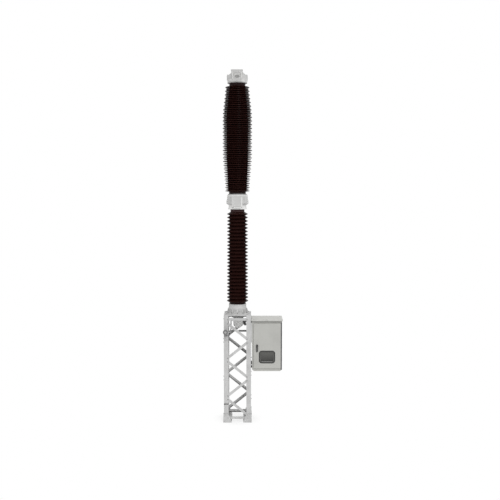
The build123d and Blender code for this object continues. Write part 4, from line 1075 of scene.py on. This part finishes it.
class BREAKER_OT_cabinet(bpy.types.Operator):
    """Add the window, the handle, the hinges and the fastenings of the cabinet"""

    bl_idname = "breaker.cabinet"
    bl_label = "Cabinet"

    def window(self):
        """The broad rubber moulding, the lip and the bead on it, the pane and the drip strip."""
        low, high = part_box("window_gasket")
        middle, width, height = (low + high) / 2, high.x - low.x, high.z - low.z
        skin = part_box("door")[0].y
        place = Matrix.Translation((middle.x, skin, middle.z)) @ STANDING
        corner, broad = 0.056, 0.036

        def moulding(name, sections, replaced=(), look=None):
            rings = [(rounded_rectangle(width - 2 * inset, height - 2 * inset, corner - inset), lift)
                     for inset, lift in sections]
            bm = bmesh.new()
            add_rings(bm, place, rings, endless=True)
            make_piece(name, bm, "black_rubber", "door", replaced, look)

        moulding("window_moulding", [
            (0.0005, 0.0), (0.0015, 0.0042), (0.006, 0.0056), (0.017, 0.0058), (0.020, 0.0042),
            (0.023, 0.0056), (0.032, 0.0048), (broad, 0.0016), (broad, -0.002), (broad - 0.006, -0.002),
            (broad - 0.006, 0.0)], ["window_gasket"])
        moulding("window_lip", [
            (0.0205, 0.0040), (0.0235, 0.0062), (0.032, 0.0054), (broad - 0.0002, 0.0018),
            (broad - 0.0002, 0.0010), (0.0205, 0.0010)], look="lip_rubber")
        lap = 0.002
        inset = broad - lap
        outline = rounded_rectangle(width - 2 * inset, height - 2 * inset, corner - inset)
        bm = bmesh.new()
        add_prism(bm, outline, place @ Matrix.Translation((0, 0, -0.0045)), 0.004)
        make_piece("window_pane", bm, "smoked_glass", "door", ["window_glass"])
        moulding("window_bead", [
            (broad + 0.0002, -0.0004), (broad + 0.0002, 0.0024), (broad + 0.0042, -0.0004)])
        foot, half = middle.z - height / 2 + broad, width / 2 - corner
        strip = ((middle.x - half, skin - 0.0066, foot - 0.006), (middle.x + half, skin - 0.001, foot + lap))
        make_blocks("window_drip_strip", [strip], "bright_steel", "door", 0.0015)

    def handle(self):
        """The swing handle: a hub, a slightly waisted grip and a thumb end."""
        low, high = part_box("handle")
        pivot = next(joint for joint in frame["joints"] if joint["name"] == "handle_turn")["pos_m"]
        front, back = low.y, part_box("escutcheon")[0].y - 0.0003
        half, foot = (high.x - low.x) / 2, low.z - pivot[2]
        profile = ((1.0, 0.0), (0.98, 0.16), (0.86, 0.32), (0.80, 0.56), (0.86, 0.80), (0.92, 0.93),
                   (0.55, 0.995))
        grip = [(share * half, drop * foot) for share, drop in profile]
        left = [(-x, z) for x, z in reversed(grip)]
        # The round top of the hub, from left to right
        hub = circle(half, 20)[9:0:-1]
        bm = bmesh.new()
        place = Matrix.Translation((pivot[0], back, pivot[2])) @ STANDING
        add_prism(bm, grip + left + hub, place, back - front, 0.003)
        add_turned(bm, [(0.0105, 0), (0.0105, 0.0012), (0.009, 0.0016)],
                   facing((pivot[0], front + 0.0014, pivot[2]), FRONT), 28)
        add_turned(bm, [(0.0078, 0), (0.0078, high.y - back)], facing((pivot[0], back, pivot[2]), BACK), 20)
        make_piece("swing_handle", bm, "black_plastic", "handle", ["handle"])

    def hinges(self):
        """Dark sleeves over the knuckles, and the caps at the ends of the pin."""
        low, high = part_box("hinge_pin")
        x, y = (low.x + high.x) / 2, low.y + 0.007
        knuckles, length, radius, inner = 3, 0.090, 0.0121, 0.0116
        free = (high.z - low.z - knuckles * length) / (knuckles + 1)
        sections = ((inner, -0.0004), (radius, 0.001), (radius, length - 0.001), (inner, length + 0.0004))
        rings = [(circle(size, 40), z) for size, z in sections]
        bm = bmesh.new()
        for index in range(knuckles):
            z = low.z + free + index * (free + length)
            add_rings(bm, Matrix.Translation((x, y, z)), rings, endless=True)
        make_piece("hinge_sleeves", bm, "dark_steel", "door")
        bm = bmesh.new()
        add_turned(bm, [(0.0088, 0), (0.0105, 0.002), (0.0105, 0.016), (0.0075, 0.018)],
                   Matrix.Translation((x, y, low.z - 0.017)), 28)
        add_turned(bm, [(0.0085, 0), (0.0095, 0.001), (0.0095, 0.003), (0.0085, 0.004)],
                   Matrix.Translation((x, y, high.z)), 28)
        make_piece("hinge_pin_caps", bm, "dark_steel")

    def dark_strips(self):
        """Black rubber strips that paint the shadow below the roof and in the hinge gap, and black blocks between
        the lower straps and the leg.
        """
        low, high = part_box("cabinet_front")
        pin_low, pin_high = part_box("hinge_pin")
        roof, face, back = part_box("cabinet_roof")[0].z, low.y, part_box("cabinet_back")[1].y
        proud, top = 0.012, roof + 0.008
        # Painted shadow: black strips below the roof's edges, where the roof casts its shade.
        make_blocks("roof_shadow_strips", [
            ((low.x, face - proud, roof - 0.002), (high.x, face, top)),
            ((low.x - proud, face - proud, roof - 0.014), (low.x, back, top)),
            ((high.x, face - proud, roof - 0.006), (high.x + 0.010, back, top))], "black_rubber")
        # Painted shadow: a black strip behind the hinges, in the hinge gap.
        strip = ((pin_low.x - 0.003, face - 0.0005, pin_low.z), (high.x - 0.001, face, pin_high.z))
        make_blocks("hinge_gap_shadow_strip", [strip], "black_rubber", bevel=0.0001)
        low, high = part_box("lower_mounts")
        spans = ((high.z - 0.045, high.z - 0.004), (high.z - 0.112, high.z - 0.072))
        # Two black blocks in the gap between the lower straps and the leg.
        make_blocks("strap_dark_blocks", [
            ((low.x + 0.001, low.y - 0.006, foot), (high.x + 0.004, low.y, head))
            for foot, head in spans], "black_rubber")

    def fastenings(self):
        """Bolts of the straps on the legs, and screws of the roof."""
        upper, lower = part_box("upper_mounts"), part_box("lower_mounts")
        leg_inside = upper[0].x - 0.009
        spots = [(side, z) for side in (-1, 1) for z in (upper[0].z + 0.040, upper[1].z - 0.040)]
        spots += [(-1, lower[1].z - 0.030), (-1, lower[1].z - 0.088), (1, lower[0].z + 0.023)]
        places = [(leg_inside, side * (upper[1].y - inset), z) for side, z in spots
                  for inset in (0.028, 0.064)]
        make_fasteners("strap_bolts", places, LEFT, BOLT_SMALL, add_nut)
        low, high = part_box("cabinet_roof")
        bm = bmesh.new()
        screw = [(0.009, 0), (0.007, 0.003), (0.003, 0.0042)]
        for x in (low.x + 0.05, (low.x + high.x) / 2, high.x - 0.05):
            for y in (low.y + 0.06, high.y - 0.06):
                add_turned(bm, screw, Matrix.Translation((x, y, high.z)), 20)
        make_piece("roof_screws", bm, "bright_steel")

    def execute(self, context):
        self.window()
        self.handle()
        self.hinges()
        self.dark_strips()
        self.fastenings()
        return {"FINISHED"}


# Drive

class BREAKER_OT_drive(bpy.types.Operator):
    """Wind the springs and dress the gearbox of the drive in the cabinet"""

    bl_idname = "breaker.drive"
    bl_label = "Spring drive"

    def springs(self):
        """Two coil springs between their end plates."""
        low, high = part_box("drive_springs")
        turns, turn_steps, wire, plate = 9, 28, 0.0085, 0.014
        radius, y = (high.y - low.y) / 2, (low.y + high.y) / 2
        edge, face, round_off = radius - 0.001, radius - 0.004, 0.003
        foot, length = low.z + plate + wire, high.z - low.z - 2 * plate - 2 * wire
        winding = []
        for step in range(turns * turn_steps + 1):
            angle = math.tau * step / turn_steps
            winding.append(Vector(((face - wire) * math.cos(angle), (face - wire) * math.sin(angle),
                                   foot + length * step / turns / turn_steps)))
        bm = bmesh.new()
        ends = bmesh.new()
        for x in (low.x + radius, high.x - radius):
            add_tube(bm, [point + Vector((x, y, 0)) for point in winding], wire, 10)
            axis = Matrix.Translation((x, y, 0))
            for z in (low.z, high.z - plate):
                add_turned(ends, [(face, z), (edge, z + round_off), (edge, z + plate - round_off),
                                  (face, z + plate)], axis, 40)
            add_turned(ends, [(0.012, low.z + plate), (0.012, high.z - plate)], axis, 20)
        make_piece("spring_coils", bm, "spring_paint", replaced=["drive_springs"])
        make_piece("spring_plates", ends, "drive_grey")

    def gearbox(self):
        """The gearbox with its cover, and the finned motor below."""
        low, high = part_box("drive_gearbox")
        foot, inset = high.z - 0.260, 0.012
        x, y = (low.x + high.x) / 2, (low.y + high.y) / 2
        bm = bmesh.new()
        add_block(bm, (low.x, low.y + 0.010, foot), (high.x, high.y, high.z), 0.006)
        add_block(bm, (low.x + inset, low.y, foot + inset),
                  (high.x - inset, low.y + inset, high.z - inset), 0.003)
        motor, fins = foot - low.z, 11
        add_turned(bm, [(0.030, 0), (0.046, 0.004), (0.046, motor - 0.004), (0.040, motor)],
                   Matrix.Translation((x, y, low.z)), 40)
        for index in range(fins):
            z = low.z + 0.022 + index * (motor - 0.05) / (fins - 1)
            add_turned(bm, [(0.051, 0), (0.0515, 0.002), (0.051, 0.004)], Matrix.Translation((x, y, z)), 40)
        make_piece("gearbox_and_motor", bm, "drive_grey", replaced=["drive_gearbox"])
        places = [(x + offset, low.y, z) for offset in (-0.052, 0.052)
                  for z in (foot + 0.026, (foot + high.z) / 2, high.z - 0.026)]
        make_fasteners("gearbox_screws", places, FRONT, BOLT_TINY)

    def execute(self, context):
        self.springs()
        self.gearbox()
        return {"FINISHED"}


# Studio

class BREAKER_OT_stage(bpy.types.Operator):
    """Set up the floor, the light and the camera of the photograph"""

    bl_idname = "breaker.stage"
    bl_label = "Stage"

    def seen_ray(self, tree):
        """One for rays from the camera, from mirrors and through glass."""
        path = add_node(tree, "LightPath").outputs
        seen = calculated(tree, "MAXIMUM", path["Is Camera Ray"], path["Is Glossy Ray"])
        return calculated(tree, "MAXIMUM", seen, path["Is Transmission Ray"])

    def world(self, scene):
        """White where it is seen, and soft light elsewhere."""
        world = bpy.data.worlds.new("studio")
        world.use_nodes = True
        tree = world.node_tree
        strength = spread(tree, self.seen_ray(tree), 0.0, 1.0, scene.breaker_stage.sky, 1.0)
        background = tree.nodes["Background"]
        background.inputs["Color"].default_value = (1, 1, 1, 1)
        tree.links.new(strength, background.inputs["Strength"])
        scene.world = world

    def floor(self, scene):
        """A pale floor that runs out into white away from the object."""
        mesh = bpy.data.meshes.new("studio_floor")
        half = FLOOR_SIZE
        corners = [(-half, -half), (half, -half), (half, half), (-half, half)]
        mesh.from_pydata([(x, y, -FLOOR_DROP) for x, y in corners], [], [(0, 1, 2, 3)])
        floor = bpy.data.objects.new("studio_floor", mesh)
        scene.collection.objects.link(floor)
        tree, shader = new_material("studio_floor", Base_Color=FLOOR_GREY, Roughness=0.9)
        place = add_node(tree, "NewGeometry").outputs["Position"]
        reach = add_node(tree, "VectorMath", {0: place}, operation="LENGTH").outputs["Value"]
        away = spread(tree, reach, *FLOOR_FADE, FLOOR_WHITE, 1.0)
        share = calculated(tree, "MULTIPLY", away, self.seen_ray(tree))
        white = add_node(tree, "Emission", {"Color": (1, 1, 1, 1), "Strength": 1.0}).outputs[0]
        mix = add_node(tree, "MixShader", {0: share, 1: shader.outputs[0], 2: white}).outputs[0]
        tree.links.new(mix, tree.nodes["Material Output"].inputs["Surface"])
        mesh.materials.append(made_finish("studio_floor"))

    def lights(self, scene):
        """One broad soft key light from the front right."""
        lamp = bpy.data.lights.new("key_light", "SUN")
        lamp.energy = scene.breaker_stage.sun
        lamp.angle = SUN_SPREAD
        key = bpy.data.objects.new("key_light", lamp)
        key.rotation_euler = SUN_TURN
        scene.collection.objects.link(key)

    def camera(self, scene):
        """The camera of the photograph."""
        data = bpy.data.cameras.new("photo_camera")
        data.lens = CAMERA_LENS
        data.clip_end = 200
        camera = bpy.data.objects.new("photo_camera", data)
        camera.location = CAMERA_PLACE
        camera.rotation_euler = (math.pi / 2 - CAMERA_TILT, 0, 0)
        scene.collection.objects.link(camera)
        scene.camera = camera

    def execute(self, context):
        scene = context.scene
        scene.view_settings.view_transform = "Standard"
        self.world(scene)
        self.floor(scene)
        self.lights(scene)
        self.camera(scene)
        return {"FINISHED"}


SETTINGS = {
    "breaker_insulators": BreakerInsulatorSettings,
    "breaker_metal": BreakerMetalSettings,
    "breaker_cabinet": BreakerCabinetSettings,
    "breaker_stage": BreakerStageSettings,
}
STEPS = (BREAKER_OT_finishes, BREAKER_OT_insulators, BREAKER_OT_castings, BREAKER_OT_stand,
         BREAKER_OT_monitor, BREAKER_OT_cabinet, BREAKER_OT_drive, BREAKER_OT_stage)


class BREAKER_PT_panel(bpy.types.Panel):
    """Settings and steps of the breaker pole"""

    bl_label = "Breaker pole"
    bl_idname = "BREAKER_PT_panel"
    bl_space_type = "VIEW_3D"
    bl_region_type = "UI"
    bl_category = "Breaker"

    def draw(self, context):
        for name in SETTINGS:
            group = getattr(context.scene, name)
            box = self.layout.box()
            for key in group.__annotations__:
                box.prop(group, key)
        for step in STEPS:
            self.layout.operator(step.bl_idname)


def register():
    """Registers the settings, the steps and the panel."""
    for name, group in SETTINGS.items():
        bpy.utils.register_class(group)
        setattr(bpy.types.Scene, name, PointerProperty(type=group))
    for item in (*STEPS, BREAKER_PT_panel):
        bpy.utils.register_class(item)


def unregister():
    """Takes away what register added."""
    for item in reversed((*STEPS, BREAKER_PT_panel)):
        bpy.utils.unregister_class(item)
    for name, group in SETTINGS.items():
        delattr(bpy.types.Scene, name)
        bpy.utils.unregister_class(group)


def main():
    """Dresses the model step by step."""
    register()
    bpy.ops.breaker.finishes()
    bpy.ops.breaker.insulators()
    bpy.ops.breaker.castings()
    bpy.ops.breaker.stand()
    bpy.ops.breaker.monitor()
    bpy.ops.breaker.cabinet()
    bpy.ops.breaker.drive()
    bpy.ops.breaker.stage()


if __name__ == "__main__":
    main()
